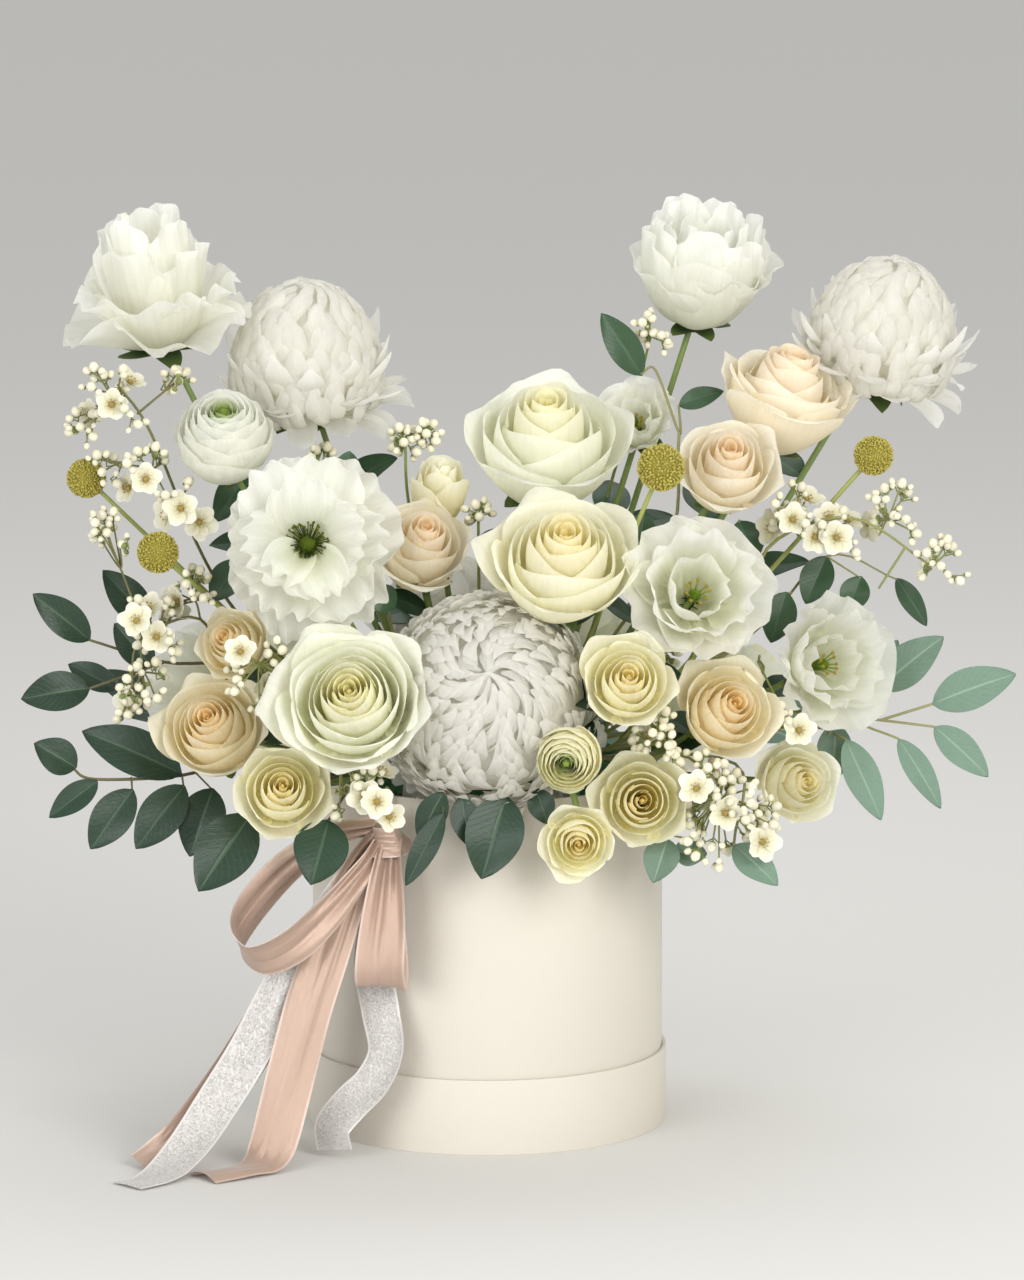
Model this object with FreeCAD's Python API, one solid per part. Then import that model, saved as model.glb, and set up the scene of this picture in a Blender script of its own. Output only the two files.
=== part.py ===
import FreeCAD, Part
import math
import os

from FreeCAD import Matrix, Placement, Rotation, Vector

# Round hat box standing in its own lid, filled with a front-facing flower arrangement.
# Millimetres, +Z up, front faces -Y, origin at the centre of the lid's underside.

# ---------------------------------------------------------------- box sizes
BOX_RADIUS = 100.0
BOX_HEIGHT = 200.0
BOARD = 2.5
LID_RADIUS = 102.5
LID_HEIGHT = 43.0
LID_CLEARANCE = 0.4
LINER_CLEARANCE = 0.6
LINER_WALL = 0.9
LINER_HEIGHT = 178.0
FOAM_CLEARANCE = 0.5
FOAM_RADIUS = BOX_RADIUS - BOARD - LINER_CLEARANCE - LINER_WALL - FOAM_CLEARANCE
FOAM_TOP = 214.0
FOAM_BEVEL = 24.0

# ---------------------------------------------------------------- plant sizes
ROOT_SPREAD = 0.36
ROOT_SPREAD_LOW = 0.5
TALL_HEAD = 300.0
CRASPEDIA_STEM = 1.3
ROOT_DEPTH = 28.0
FOOT_DROP = 1.0
HOLE_RUN_OUT = 8.0
FLOWER_STEM_TOP = 1.6
FLOWER_STEM_FOOT = 2.3
TWIG_TOP = 0.45
TWIG_FOOT = 1.3
LEAF_THICKNESS = 0.8
BLOSSOM_RADIUS = 10.0
BLOSSOM_HALF_DEPTH = 3.5
BUD_RADIUS = 2.9
BUD_HALF_DEPTH = 3.4
BLOSSOM_SIZE = (BLOSSOM_RADIUS, BLOSSOM_HALF_DEPTH)
BUD_SIZE = (BUD_RADIUS, BUD_HALF_DEPTH)
GOLDEN_ANGLE = math.radians(137.5)
# Steps that spread a cluster's tips evenly in height and in distance from its middle.
SPREAD_HEIGHT = 0.7549
SPREAD_REACH = 0.5698

# ---------------------------------------------------------------- ribbon sizes
RIBBON_THICKNESS = 0.6
RIBBON_STEPS = 3

# One row per flower: node, centre of the head, facing direction, width, depth.
FLOWERS = [
    ("lisianthus_top_left", (-189, 18, 476), (-0.1, -0.2, 1), 90, 64),
    ("mum_top_left", (-104, 30, 440), (-0.1, -0.35, 0.93), 108, 70),
    ("ranunculus_upper_left", (-148, -34, 399), (0, -0.6, 0.8), 60, 44),
    ("anemone_left", (-100, -80, 344), (0, -0.95, 0.3), 100, 26),
    ("rose_peach_centre", (-37, -44, 338), (0.15, -0.8, 0.55), 52, 44),
    ("rosebud_cream", (-27, -10, 363), (0.1, -0.4, 0.9), 34, 38),
    ("rose_large_upper", (33, -6, 392), (0.05, -0.7, 0.7), 86, 62),
    ("rose_large_middle", (43, -90, 337), (0.05, -0.85, 0.5), 78, 56),
    ("lisianthus_small", (85, 30, 398), (-0.1, -0.8, 0.6), 40, 32),
    ("peony_top_right", (123, 58, 481), (0.15, -0.3, 0.95), 72, 62),
    ("mum_top_right", (227, 50, 452), (0.3, -0.3, 0.9), 104, 68),
    ("rose_cream_upper_right", (168, 4, 416), (0.3, -0.35, 0.88), 74, 58),
    ("rose_peach_right", (135, -46, 383), (0.1, -0.85, 0.5), 56, 46),
    ("lisianthus_right", (117, -88, 319), (0.15, -0.9, 0.4), 70, 38),
    ("lisianthus_far_right", (192, -50, 272), (0.45, -0.85, 0.25), 66, 38),
    ("mum_football", (1, -98, 262), (0, -0.9, 0.43), 100, 76),
    ("rose_ruffled_left", (-75, -131, 264), (-0.05, -0.95, 0.3), 72, 52),
    ("rose_peach_left", (-153, -78, 239), (-0.2, -0.95, 0.2), 60, 48),
    ("rosebud_peach_left", (-143, -64, 286), (-0.3, -0.9, 0.3), 38, 34),
    ("rose_yellow_low_left", (-114, -124, 213), (-0.15, -0.95, 0.2), 48, 40),
    ("rose_yellow_right", (78, -126, 274), (0.05, -0.95, 0.25), 50, 40),
    ("ranunculus_yellow", (45, -141, 234), (0, -1, 0), 38, 32),
    ("rose_yellow_low_right", (86, -114, 205), (0.05, -0.97, 0), 50, 40),
    ("rose_rim", (51, -134, 186), (0, -0.95, -0.2), 38, 26),
    ("rose_peach_low_right", (134, -96, 253), (0.25, -0.93, 0.2), 56, 46),
    ("rose_cream_low_right", (174, -70, 207), (0.4, -0.9, 0.1), 46, 38),
]

# Heads on the far side, which the same rows describe, grouped by kind.
BACK_FLOWERS = {
    "roses_back": [
        ((-112, 66, 258), (-0.5, 0.75, 0.45), 66, 50),
        ((62, 96, 262), (0.2, 0.85, 0.45), 70, 54),
        ((-64, 118, 222), (-0.3, 0.95, 0.1), 58, 46),
        ((148, 66, 240), (0.6, 0.7, 0.35), 62, 48),
        ((22, 126, 220), (0.1, 0.98, 0.1), 60, 46),
    ],
    "mums_back": [
        ((-24, 84, 282), (-0.1, 0.8, 0.6), 92, 62),
    ],
    "lisianthus_back": [
        ((110, 108, 208), (0.5, 0.85, 0.1), 56, 34),
        ((-168, 34, 246), (-0.85, 0.45, 0.3), 60, 36),
        ((38, 66, 320), (0.1, 0.5, 0.85), 54, 34),
    ],
    "ranunculus_back": [
        ((-122, 98, 212), (-0.6, 0.8, 0.05), 48, 38),
        ((112, 70, 308), (0.3, 0.7, 0.65), 50, 38),
        ((-84, 58, 318), (-0.3, 0.6, 0.7), 46, 36),
    ],
}

# Round woolly heads: centre and radius.
CRASPEDIA = [
    ((-227, -12, 372), 11, (-66, -8)),
    ((-185, -54, 336), 11.5, (-60, -14)),
    ((97, -86, 389), 13, (30, -20)),
    ((218, -26, 387), 11, (72, 6)),
]

# Where a low or crowded stem enters the foam; the others enter in proportion to their heads.
ROOTS = {
    "mum_top_left": (-36, 8),
    "ranunculus_upper_left": (-48, -4),
    "rose_large_middle": (12, -24),
    "peony_top_right": (40, 14),
    "rose_peach_right": (40, -12),
    "lisianthus_right": (46, -40),
    "lisianthus_far_right": (80, -14),
    "mum_football": (1, -48),
    "rose_ruffled_left": (-34, -56),
    "rose_peach_left": (-68, -42),
    "rosebud_peach_left": (-76, -20),
    "rose_yellow_low_left": (-52, -56),
    "rose_yellow_right": (34, -52),
    "ranunculus_yellow": (50, -68),
    "rose_yellow_low_right": (46, -56),
    "rose_rim": (26, -66),
    "rose_peach_low_right": (76, -40),
    "rose_cream_low_right": (72, -34),
}

# A stem that has to climb over the rim before it enters the foam.
STEM_BENDS = {
    "rose_rim": (47, -104, 209),
}

# Leafy branches: each stem runs from the foam or from another stem of the branch,
# each leaf is its base point, its tip and its width.
BRANCHES = {
    "eucalyptus_left_upper": {
        "stems": [
            [(-58, -22, 214), (-135, -8, 260), (-183, -22, 268), (-225, -30, 282)],
            [(-183, -22, 268), (-225, -34, 255)],
        ],
        "leaves": [
            ((-225, -30, 282), (-256, -40, 310), 21),
            ((-192, -6, 288), (-218, -12, 319), 22),
            ((-225, -34, 255), (-263, -44, 251), 24),
            ((-190, -30, 266), (-211, -26, 291), 20),
            ((-210, -20, 252), (-238, -16, 266), 16),
        ],
    },
    "eucalyptus_left_lower": {
        "stems": [
            [(-62, -44, 214), (-135, -12, 211), (-173, -40, 206), (-221, -52, 206), (-233, -54, 212)],
        ],
        "leaves": [
            ((-173, -42, 207), (-229, -40, 232), 28),
            ((-232, -54, 213), (-255, -60, 228), 22),
            ((-220, -54, 205), (-247, -62, 186), 17),
            ((-200, -52, 200), (-224, -62, 168), 24),
            ((-171, -50, 202), (-198, -66, 169), 26),
            ((-155, -48, 200), (-168, -62, 164), 28),
        ],
    },
    "collar_leaves_front": {
        "stems": [
            [(-56, -50, 214), (-100, -78, 208), (-132, -108, 196)],
            [(-28, -58, 214), (-66, -84, 219), (-88, -122, 196)],
            [(-14, -66, 214), (-27, -40, 221), (-23, -112, 211)],
            [(8, -68, 214), (10, -50, 225), (11, -118, 209)],
        ],
        "leaves": [
            ((-132, -108, 196), (-160, -132, 158), 35),
            ((-88, -122, 196), (-97, -148, 165), 32),
            ((-24, -126, 201), (-45, -137, 162), 15),
            ((-24, -118, 211), (-38, -126, 186), 18),
            ((-14, -118, 209), (-10, -124, 182), 17),
            ((11, -118, 209), (-3, -132, 165), 34),
            ((27, -112, 212), (34, -118, 193), 16),
        ],
    },
    "eucalyptus_right_upper": {
        "stems": [
            [(66, -8, 214), (172, -6, 236), (209, -24, 236), (223, -30, 236), (252, -34, 246)],
            [(223, -30, 236), (253, -40, 234)],
            [(209, -24, 236), (222, -20, 252)],
            [(209, -24, 236), (233, -34, 226)],
        ],
        "leaves": [
            ((222, -20, 252), (258, -24, 283), 25),
            ((216, 0, 248), (234, 6, 276), 19),
            ((252, -34, 246), (298, -42, 265), 25),
            ((253, -40, 234), (283, -52, 208), 19),
            ((233, -34, 226), (257, -44, 188), 16),
        ],
    },
    "eucalyptus_right_lower": {
        "stems": [
            [(60, -14, 214), (178, -10, 228), (203, -36, 226)],
            [(60, -36, 214), (100, -74, 212), (101, -104, 182)],
            [(66, -26, 214), (140, -58, 216), (138, -102, 178)],
        ],
        "leaves": [
            ((203, -36, 226), (223, -48, 182), 21),
            ((198, -22, 233), (196, -28, 200), 21),
            ((101, -104, 182), (93, -118, 160), 21),
            ((114, -100, 182), (113, -108, 166), 19),
            ((138, -102, 178), (162, -120, 159), 19),
        ],
    },
    "foliage_inner": {
        "stems": [
            [(-46, 10, 214), (-96, 4, 302), (-133, 2, 375)],
            [(-30, -22, 214), (-52, -34, 282), (-56, -46, 308)],
            [(46, 8, 214), (150, 6, 279), (193, 2, 325)],
            [(34, -8, 214), (121, -10, 302), (143, -8, 347)],
            [(24, -8, 214), (100, -4, 325), (109, 8, 395), (96, 28, 428)],
            [(109, 8, 395), (109, 20, 409)],
        ],
        "leaves": [
            ((-133, 2, 375), (-155, -10, 347), 20),
            ((-140, -20, 326), (-156, -26, 304), 20),
            ((-52, -50, 304), (-66, -54, 316), 17),
            ((-78, -10, 387), (-81, -16, 366), 15),
            ((193, 2, 325), (181, -6, 299), 20),
            ((170, -8, 306), (161, -14, 278), 21),
            ((143, -8, 347), (151, -14, 324), 22),
            ((213, 4, 313), (205, 0, 293), 18),
            ((233, 4, 312), (250, -4, 286), 13),
            ((88, 30, 425), (65, 26, 461), 20),
            ((109, 20, 409), (134, 18, 418), 13),
            ((74, -30, 337), (81, -38, 311), 20),
            ((86, -28, 336), (89, -26, 355), 17),
        ],
    },
    "eucalyptus_back_left": {
        "stems": [
            [(-58, 40, 214), (-150, 78, 214), (-195, 96, 222)],
            [(-14, 64, 214), (-22, 106, 211), (-30, 130, 200)],
            [(-56, 50, 214), (-84, 84, 212), (-100, 112, 204)],
        ],
        "leaves": [
            ((-150, 78, 214), (-176, 112, 206), 26),
            ((-158, 80, 216), (-188, 64, 238), 24),
            ((-180, 90, 219), (-214, 114, 214), 24),
            ((-195, 96, 222), (-232, 104, 240), 24),
            ((-30, 130, 200), (-30, 146, 164), 30),
            ((-100, 112, 204), (-112, 136, 168), 26),
            ((-30, 116, 206), (-8, 140, 180), 24),
        ],
    },
    "eucalyptus_back_right": {
        "stems": [
            [(62, 36, 214), (156, 92, 208), (196, 98, 224)],
            [(44, 60, 214), (68, 96, 212), (76, 124, 200)],
        ],
        "leaves": [
            ((156, 92, 208), (180, 124, 198), 26),
            ((176, 94, 214), (206, 76, 236), 24),
            ((190, 96, 221), (226, 114, 222), 24),
            ((196, 98, 224), (230, 94, 250), 24),
            ((76, 124, 200), (74, 144, 162), 30),
            ((72, 108, 206), (60, 138, 180), 22),
        ],
    },
}

# Fine sprays: a main stem, then round clusters of open blossoms and closed buds:
# centre of the cluster, its radius, how many blossoms, how many buds.
SPRAYS = {
    "waxflower_left": {
        "stems": [[(-48, -14, 214), (-128, -6, 278), (-160, -14, 325), (-190, -24, 400), (-208, -26, 427)]],
        "clusters": [
            ((-212, -30, 419), 24, 3, 9),
            ((-230, -22, 404), 12, 0, 5),
            ((-175, -4, 427), 9, 0, 4),
            ((-193, -34, 377), 22, 2, 6),
            ((-218, -20, 378), 14, 0, 4),
            ((-173, -40, 361), 18, 3, 4),
        ],
    },
    "waxflower_left_low": {
        "stems": [[(-54, -30, 214), (-141, -10, 250), (-162, -36, 295), (-196, -44, 284)]],
        "clusters": [
            ((-167, -44, 313), 22, 2, 8),
            ((-215, -30, 345), 14, 0, 7),
            ((-187, -50, 290), 24, 4, 6),
            ((-193, -56, 258), 22, 1, 8),
            ((-203, -50, 244), 12, 0, 4),
        ],
    },
    "waxflower_centre": {
        "stems": [[(-28, -36, 214), (-89, -50, 228), (-105, -90, 264), (-126, -92, 279)]],
        "clusters": [
            ((-126, -94, 279), 27, 5, 12),
            ((-69, -128, 213), 24, 4, 9),
        ],
    },
    "waxflower_right": {
        "stems": [[(52, -8, 214), (140, -22, 277), (158, -34, 335), (205, -36, 353), (248, -34, 327)]],
        "clusters": [
            ((171, -34, 354), 22, 5, 6),
            ((196, -32, 343), 18, 3, 4),
            ((228, -26, 355), 22, 1, 9),
            ((255, -28, 326), 18, 0, 8),
            ((214, -30, 300), 9, 1, 0),
        ],
    },
    "waxflower_right_dense": {
        "stems": [
            [(60, -50, 214), (108, -84, 226), (128, -98, 208)],
            [(62, -18, 214), (148, -36, 258), (153, -56, 276)],
        ],
        "clusters": [
            ((131, -104, 201), 36, 4, 44),
            ((94, -108, 240), 20, 1, 14),
            ((153, -66, 280), 12, 1, 3),
            ((170, -78, 242), 14, 1, 4),
        ],
    },
    "bud_sprigs": {
        "stems": [
            [(-14, 2, 214), (-33, 0, 300), (-45, 4, 357), (-47, 6, 391)],
            [(-26, 4, 214), (-80, 4, 330), (-95, 6, 372)],
            [(30, 30, 214), (82, 52, 400), (92, 46, 440)],
            [(-4, -14, 214), (-5, -18, 340)],
        ],
        "clusters": [
            ((-48, 6, 391), 12, 0, 6),
            ((-35, 4, 396), 9, 0, 5),
            ((-95, 6, 377), 14, 0, 7),
            ((94, 36, 450), 14, 0, 8),
            ((-5, -20, 352), 10, 0, 4),
        ],
    },
    "waxflower_back": {
        "stems": [
            [(54, 26, 214), (102, 82, 268), (114, 92, 296)],
            [(2, 56, 214), (-13, 100, 217), (-20, 122, 226)],
        ],
        "clusters": [
            ((116, 100, 288), 24, 5, 9),
            ((98, 108, 256), 16, 2, 6),
            ((-20, 130, 234), 14, 2, 6),
        ],
    },
}

# Sprays and branches on the far side face +Y.
FACING_SIDE = {"waxflower_back": 1}
LEAF_FACING_SIDE = {"eucalyptus_back_left": 1, "eucalyptus_back_right": 1}

# Ribbons: node, width, then points along the ribbon with the direction of its width.
RIBBONS = [
    ("bow_loop_left", 26, [
        ((-62, -105, 190), (-0.35, -0.55, 0.75)),
        ((-85, -105, 184), (-0.38, -0.57, 0.70)),
        ((-112, -107, 166), (-0.38, -0.57, 0.65)),
        ((-134, -114, 142), (-0.30, -0.57, 0.65)),
        ((-140, -126, 127), (-0.20, -0.60, 0.70)),
        ((-128, -136, 119), (-0.38, -0.57, 0.65)),
        ((-108, -139, 128), (-0.45, -0.50, 0.65)),
        ((-88, -133, 146), (-0.50, -0.40, 0.65)),
        ((-78, -127, 161), (-0.55, -0.35, 0.62)),
    ]),
    ("bow_loop_right", 26, [
        ((-54, -112, 182), (1.0, 0.0, 0.0)),
        ((-56, -120, 165), (1.0, 0.0, 0.0)),
        ((-58, -123, 138), (1.0, 0.0, 0.05)),
        ((-60, -124, 112), (1.0, 0.0, 0.10)),
        ((-59, -118, 99), (1.0, 0.0, -0.15)),
        ((-58, -108, 100), (1.0, 0.0, -0.15)),
        ((-57, -105, 115), (1.0, 0.0, -0.10)),
        ((-56, -104, 140), (1.0, 0.0, 0.0)),
        ((-55, -104, 170), (1.0, 0.0, 0.0)),
    ]),
    ("satin_tail_front", 26, [
        ((-71, -111, 168), (0.94, 0.0, -0.34)),
        ((-79, -114, 149), (0.94, 0.0, -0.34)),
        ((-90, -118, 118), (0.94, 0.0, -0.30)),
        ((-99, -122, 92), (0.95, 0.0, -0.28)),
        ((-107, -126, 62), (0.96, 0.0, -0.24)),
        ((-114, -130, 34), (0.96, -0.1, -0.20)),
        ((-120, -134, 12), (0.94, -0.3, -0.10)),
        ((-127, -140, 3), (0.85, -0.5, -0.03)),
        ((-141, -150, 1.6), (0.72, -0.7, 0.0)),
        ((-158, -162, 1.6), (0.66, -0.75, 0.0)),
    ]),
    ("sheer_tail_long", 24, [
        ((-70, -109.5, 168), (0.90, 0.0, -0.42)),
        ((-88, -110, 140), (0.90, 0.0, -0.45)),
        ((-110, -114, 107), (0.88, 0.0, -0.48)),
        ((-132, -122, 66), (0.86, -0.1, -0.48)),
        ((-150, -131, 38), (0.84, -0.2, -0.45)),
        ((-164, -141, 18), (0.84, -0.4, -0.35)),
        ((-176, -154, 6), (0.85, -0.5, -0.20)),
        ((-186, -167, 2), (0.85, -0.53, -0.03)),
        ((-199, -180, 2), (0.80, -0.60, 0.0)),
    ]),
    ("satin_tail_back", 26, [
        ((-70, -106, 164), (0.88, 0.0, -0.46)),
        ((-84, -106, 142), (0.88, 0.0, -0.48)),
        ((-105, -108, 109), (0.88, 0.0, -0.50)),
        ((-125, -112, 76), (0.86, 0.0, -0.52)),
        ((-144, -118, 47), (0.84, 0.0, -0.55)),
        ((-165, -126, 20), (0.80, 0.0, -0.60)),
        ((-178, -132, 8), (0.84, -0.1, -0.50)),
        ((-192, -140, 3), (0.90, -0.5, -0.20)),
    ]),
    ("sheer_tail_short", 22, [
        ((-56, -97, 168), (1.0, 0.0, 0.0)),
        ((-60, -96, 140), (1.0, 0.0, 0.0)),
        ((-64, -96, 110), (1.0, 0.0, 0.10)),
        ((-60, -98, 82), (0.95, -0.2, 0.10)),
        ((-57, -104, 61), (0.80, -0.5, -0.15)),
        ((-64, -107, 44), (0.75, -0.5, -0.40)),
        ((-77, -109, 31), (0.75, -0.4, -0.55)),
        ((-87, -110, 18), (0.90, -0.4, -0.20)),
        ((-86, -110, 5), (0.90, -0.4, 0.0)),
    ]),
]
KNOT_CENTRE = (-55, -105, 183)
KNOT_RADIUS = 9.0
KNOT_HALF_DEPTH = 6.5
PICK = [(-54, -97, 188), (-56, -90, 208), (-44, -66, 198)]
PICK_RADIUS = 1.4

# What is already standing, so that fine twigs and leaves can keep clear of it.
standing = []


def unit(vector):
    """The same direction, one millimetre long."""
    return vector / vector.Length


def save(node, solids):
    """Write one sub-part, made of one or more closed solids."""
    shape = solids[0] if len(solids) == 1 else Part.makeCompound(solids)
    shape.exportStep("parts/" + node + ".step")


# ---------------------------------------------------------------- basic solids
def spheroid(centre, facing, radius, half_depth):
    """Flattened or stretched ball, turned to face one way."""
    stretch = Matrix()
    stretch.scale(radius, radius, half_depth)
    solid = Part.makeSphere(1).transformGeometry(stretch)
    solid.Placement = Placement(centre, Rotation(Vector(0, 0, 1), facing))
    return solid


def rod(start, end, start_radius, end_radius):
    """Round rod between two points, tapered when the radii differ."""
    line = end - start
    if start_radius == end_radius:
        return Part.makeCylinder(start_radius, line.Length, start, line)
    return Part.makeCone(start_radius, end_radius, line.Length, start, line)


def leaf(base, tip, width, facing):
    """Flat pointed-oval leaf blade."""
    along = unit(tip - base)
    across = unit(along.cross(facing))
    normal = across.cross(along)
    middle = base + (tip - base) * 0.5
    edges = [
        Part.Arc(base, middle + across * (width / 2), tip).toShape(),
        Part.Arc(tip, middle - across * (width / 2), base).toShape(),
    ]
    blade = Part.Face(Part.Wire(edges)).extrude(normal * LEAF_THICKNESS)
    blade.translate(normal * (-LEAF_THICKNESS / 2))
    return blade


def smooth(values):
    """Extra points between the given ones, along a smooth curve through them."""
    curve = Part.BSplineCurve()
    curve.interpolate(values)
    first, last = curve.FirstParameter, curve.LastParameter
    count = RIBBON_STEPS * (len(values) - 1)
    return [curve.value(first + (last - first) * step / count) for step in range(count + 1)]


def blended(values):
    """Extra values between the given ones, in straight steps."""
    steps = [values[0]]
    for before, after in zip(values[:-1], values[1:]):
        steps += [before + (after - before) * (step / RIBBON_STEPS) for step in range(1, RIBBON_STEPS + 1)]
    return steps


def ribbon(width, stations):
    """Thin band through rectangles set across a smooth path."""
    points = smooth([Vector(*point) for point, across in stations])
    sides = blended([Vector(*across) for point, across in stations])
    sections = []
    for index, centre in enumerate(points):
        heading = points[min(index + 1, len(points) - 1)] - points[max(index - 1, 0)]
        normal = unit(heading.cross(sides[index]))
        side = unit(normal.cross(heading)) * (width / 2)
        face = normal * (RIBBON_THICKNESS / 2)
        corners = [centre + side + face, centre - side + face, centre - side - face, centre + side - face]
        sections.append(Part.makePolygon(corners + corners[:1]))
    return Part.makeLoft(sections, True, True)


# ---------------------------------------------------------------- keeping clear
def remember(kind, node, *sizes):
    """Note a solid so that later twigs and leaves stay away from it."""
    standing.append((kind, node) + sizes)


def gap_to(item, point):
    """Roughly how far a point lies outside a remembered solid."""
    kind, sizes = item[0], item[2:]
    if kind == "ball":
        centre, facing, radius, half_depth = sizes
        depth = (point - centre).dot(facing)
        reach = math.sqrt(max((point - centre).Length ** 2 - depth ** 2, 0))
        return (math.hypot(depth / half_depth, reach / radius) - 1) * min(radius, half_depth)
    if kind == "rod":
        start, end, radius = sizes
        line = end - start
        share = min(max((point - start).dot(line) / line.dot(line), 0), 1)
        return (point - start - line * share).Length - radius
    base, tip, width, normal = sizes
    along = unit(tip - base)
    offset = point - base
    distance = offset.dot(along)
    return max(
        abs(offset.dot(normal)) - LEAF_THICKNESS,
        abs(offset.dot(along.cross(normal))) - width / 2,
        -distance,
        distance - (tip - base).Length,
    )


def in_box(point):
    """True inside the space the box, its rim and the foam take up."""
    return math.hypot(point.x, point.y) < BOX_RADIUS + 5 and point.z < FOAM_TOP + 3


def is_clear(node, start, end, radius):
    """True when a thin rod would touch neither the box nor another piece."""
    steps = max(2, int((end - start).Length / 2))
    for step in range(steps + 1):
        point = start + (end - start) * (step / steps)
        if in_box(point):
            return False
        for item in standing:
            if item[1] != node and gap_to(item, point) < radius + 0.6:
                return False
    return True


# ---------------------------------------------------------------- plants
def root_of(node, head):
    """Point on the bevelled foam where a flower's stem goes in."""
    spread = ROOT_SPREAD if head.z > TALL_HEAD else ROOT_SPREAD_LOW
    x, y = ROOTS.get(node, (head.x * spread, head.y * spread))
    return on_foam(x, y)


def on_foam(x, y):
    """Point on the foam's top or bevel."""
    return Vector(x, y, FOAM_TOP - max(0, math.hypot(x, y) - FOAM_RADIUS + FOAM_BEVEL))


def stem(node, points, foot_radius, top_radius):
    """Round stem from the foam up through the points; the first lies on the foam."""
    inward = unit(points[0] - points[1]) + Vector(0, 0, -FOOT_DROP)
    path = [points[0] + unit(inward) * ROOT_DEPTH] + points
    solids = []
    count = len(path) - 1
    for index in range(count):
        low = foot_radius + (top_radius - foot_radius) * index / count
        high = foot_radius + (top_radius - foot_radius) * (index + 1) / count
        solids.append(rod(path[index], path[index + 1], low, high))
        remember("rod", node, path[index], path[index + 1], low)
    foam_holes.append(rod(path[0], points[0] - unit(inward) * HOLE_RUN_OUT, foot_radius, foot_radius))
    return solids


def flower(node, centre, facing, width, depth, root=None):
    """Head and stem of one flower."""
    centre, facing = Vector(*centre), unit(Vector(*facing))
    back = centre - facing * (depth / 2 * 0.8)
    path = [root or root_of(node, centre)]
    if node in STEM_BENDS:
        path.append(Vector(*STEM_BENDS[node]))
    path.append(back)
    remember("ball", node, centre, facing, width / 2, depth / 2)
    head = spheroid(centre, facing, width / 2, depth / 2)
    return [head] + stem(node, path, FLOWER_STEM_FOOT, FLOWER_STEM_TOP)


def flowers():
    """All large flowers, with the far-side ones grouped by kind."""
    parts = {}
    for node, centre, facing, width, depth in FLOWERS:
        parts[node] = flower(node, centre, facing, width, depth)
    for node, rows in BACK_FLOWERS.items():
        parts[node] = [solid for row in rows for solid in flower(node, *row)]
    balls = []
    for centre, radius, root in CRASPEDIA:
        centre = Vector(*centre)
        remember("ball", "craspedia", centre, Vector(0, 0, 1), radius, radius)
        balls.append(spheroid(centre, Vector(0, 0, 1), radius, radius))
        balls += stem("craspedia", [on_foam(*root), centre], CRASPEDIA_STEM, CRASPEDIA_STEM)
    parts["craspedia"] = balls
    return parts


def nearest_on(paths, point):
    """Closest point to a given point on the middle lines of some stems."""
    best = None
    for start, end in paths:
        line = end - start
        share = min(max((point - start).dot(line) / line.dot(line), 0.25), 1)
        candidate = start + line * share
        if best is None or (point - candidate).Length < (point - best).Length:
            best = candidate
    return best


def branch_stems(node, stems):
    """Stems of a branch: those that start in the foam get a foot, the rest join on."""
    solids, lines = [], []
    for points in stems:
        path = [Vector(*point) for point in points]
        if math.hypot(path[0].x, path[0].y) < FOAM_RADIUS:
            path[0] = on_foam(path[0].x, path[0].y)
            solids += stem(node, path, TWIG_FOOT, TWIG_TOP * 1.6)
        else:
            for start, end in zip(path[:-1], path[1:]):
                solids.append(rod(start, end, TWIG_TOP * 1.8, TWIG_TOP * 1.4))
                remember("rod", node, start, end, TWIG_TOP * 1.8)
        lines += list(zip(path[:-1], path[1:]))
    return solids, lines


def branch(node, stems, leaves):
    """Leafy branch: stems, flat leaves and their short stalks."""
    solids, lines = branch_stems(node, stems)
    outward = Vector(0, LEAF_FACING_SIDE.get(node, -1), 0.45)
    for base, tip, width in leaves:
        base, tip = Vector(*base), Vector(*tip)
        solids.append(leaf(base, tip, width, outward))
        along = unit(tip - base)
        remember("plate", node, base, tip, width, unit(along.cross(outward).cross(along)))
        joint = nearest_on(lines, base)
        if (joint - base).Length > 1:
            solids.append(rod(joint, base + along, TWIG_TOP * 1.4, TWIG_TOP))
            remember("rod", node, joint, base, TWIG_TOP * 1.4)
    return solids


def cluster(node, centre, radius, blossoms, buds, hub):
    """Blossoms and buds round a point, each on its own thin twig."""
    solids = []
    wanted = blossoms + buds
    turn = 0
    done = 0
    while done < wanted and turn < wanted * 8:
        turn += 1
        height = 1 - 2 * ((turn * SPREAD_HEIGHT) % 1)
        level = math.sqrt(1 - height * height)
        angle = turn * GOLDEN_ANGLE
        direction = Vector(level * math.cos(angle), level * math.sin(angle), height)
        is_blossom = done < blossoms
        size, half_depth = BLOSSOM_SIZE if is_blossom else BUD_SIZE
        reach = radius * (0.5 + 0.5 * ((turn * SPREAD_REACH) % 1))
        place = centre + direction * reach
        facing = unit(direction + Vector(0, FACING_SIDE.get(node, -1), 0.5) * (1.2 if is_blossom else 0.4))
        if not is_clear(node, place, place + facing, size):
            continue
        foot = place - facing * half_depth * 0.8
        if not is_clear(node, hub, foot, TWIG_TOP):
            continue
        solids.append(spheroid(place, facing, size, half_depth))
        solids.append(rod(hub, foot, TWIG_TOP * 1.3, TWIG_TOP))
        remember("ball", node, place, facing, size, half_depth)
        remember("rod", node, hub, foot, TWIG_TOP * 1.3)
        done += 1
    return solids


def spray(node, stems, clusters):
    """Fine spray: main stems with clusters of blossoms and buds."""
    solids, lines = branch_stems(node, stems)
    for centre, radius, blossoms, buds in clusters:
        centre = Vector(*centre)
        joint = nearest_on(lines, centre)
        hub = centre + (joint - centre) * 0.35
        solids.append(rod(joint, hub, TWIG_TOP * 1.6, TWIG_TOP * 1.3))
        remember("rod", node, joint, hub, TWIG_TOP * 1.6)
        solids += cluster(node, centre, radius, blossoms, buds, hub)
    return solids


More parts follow.
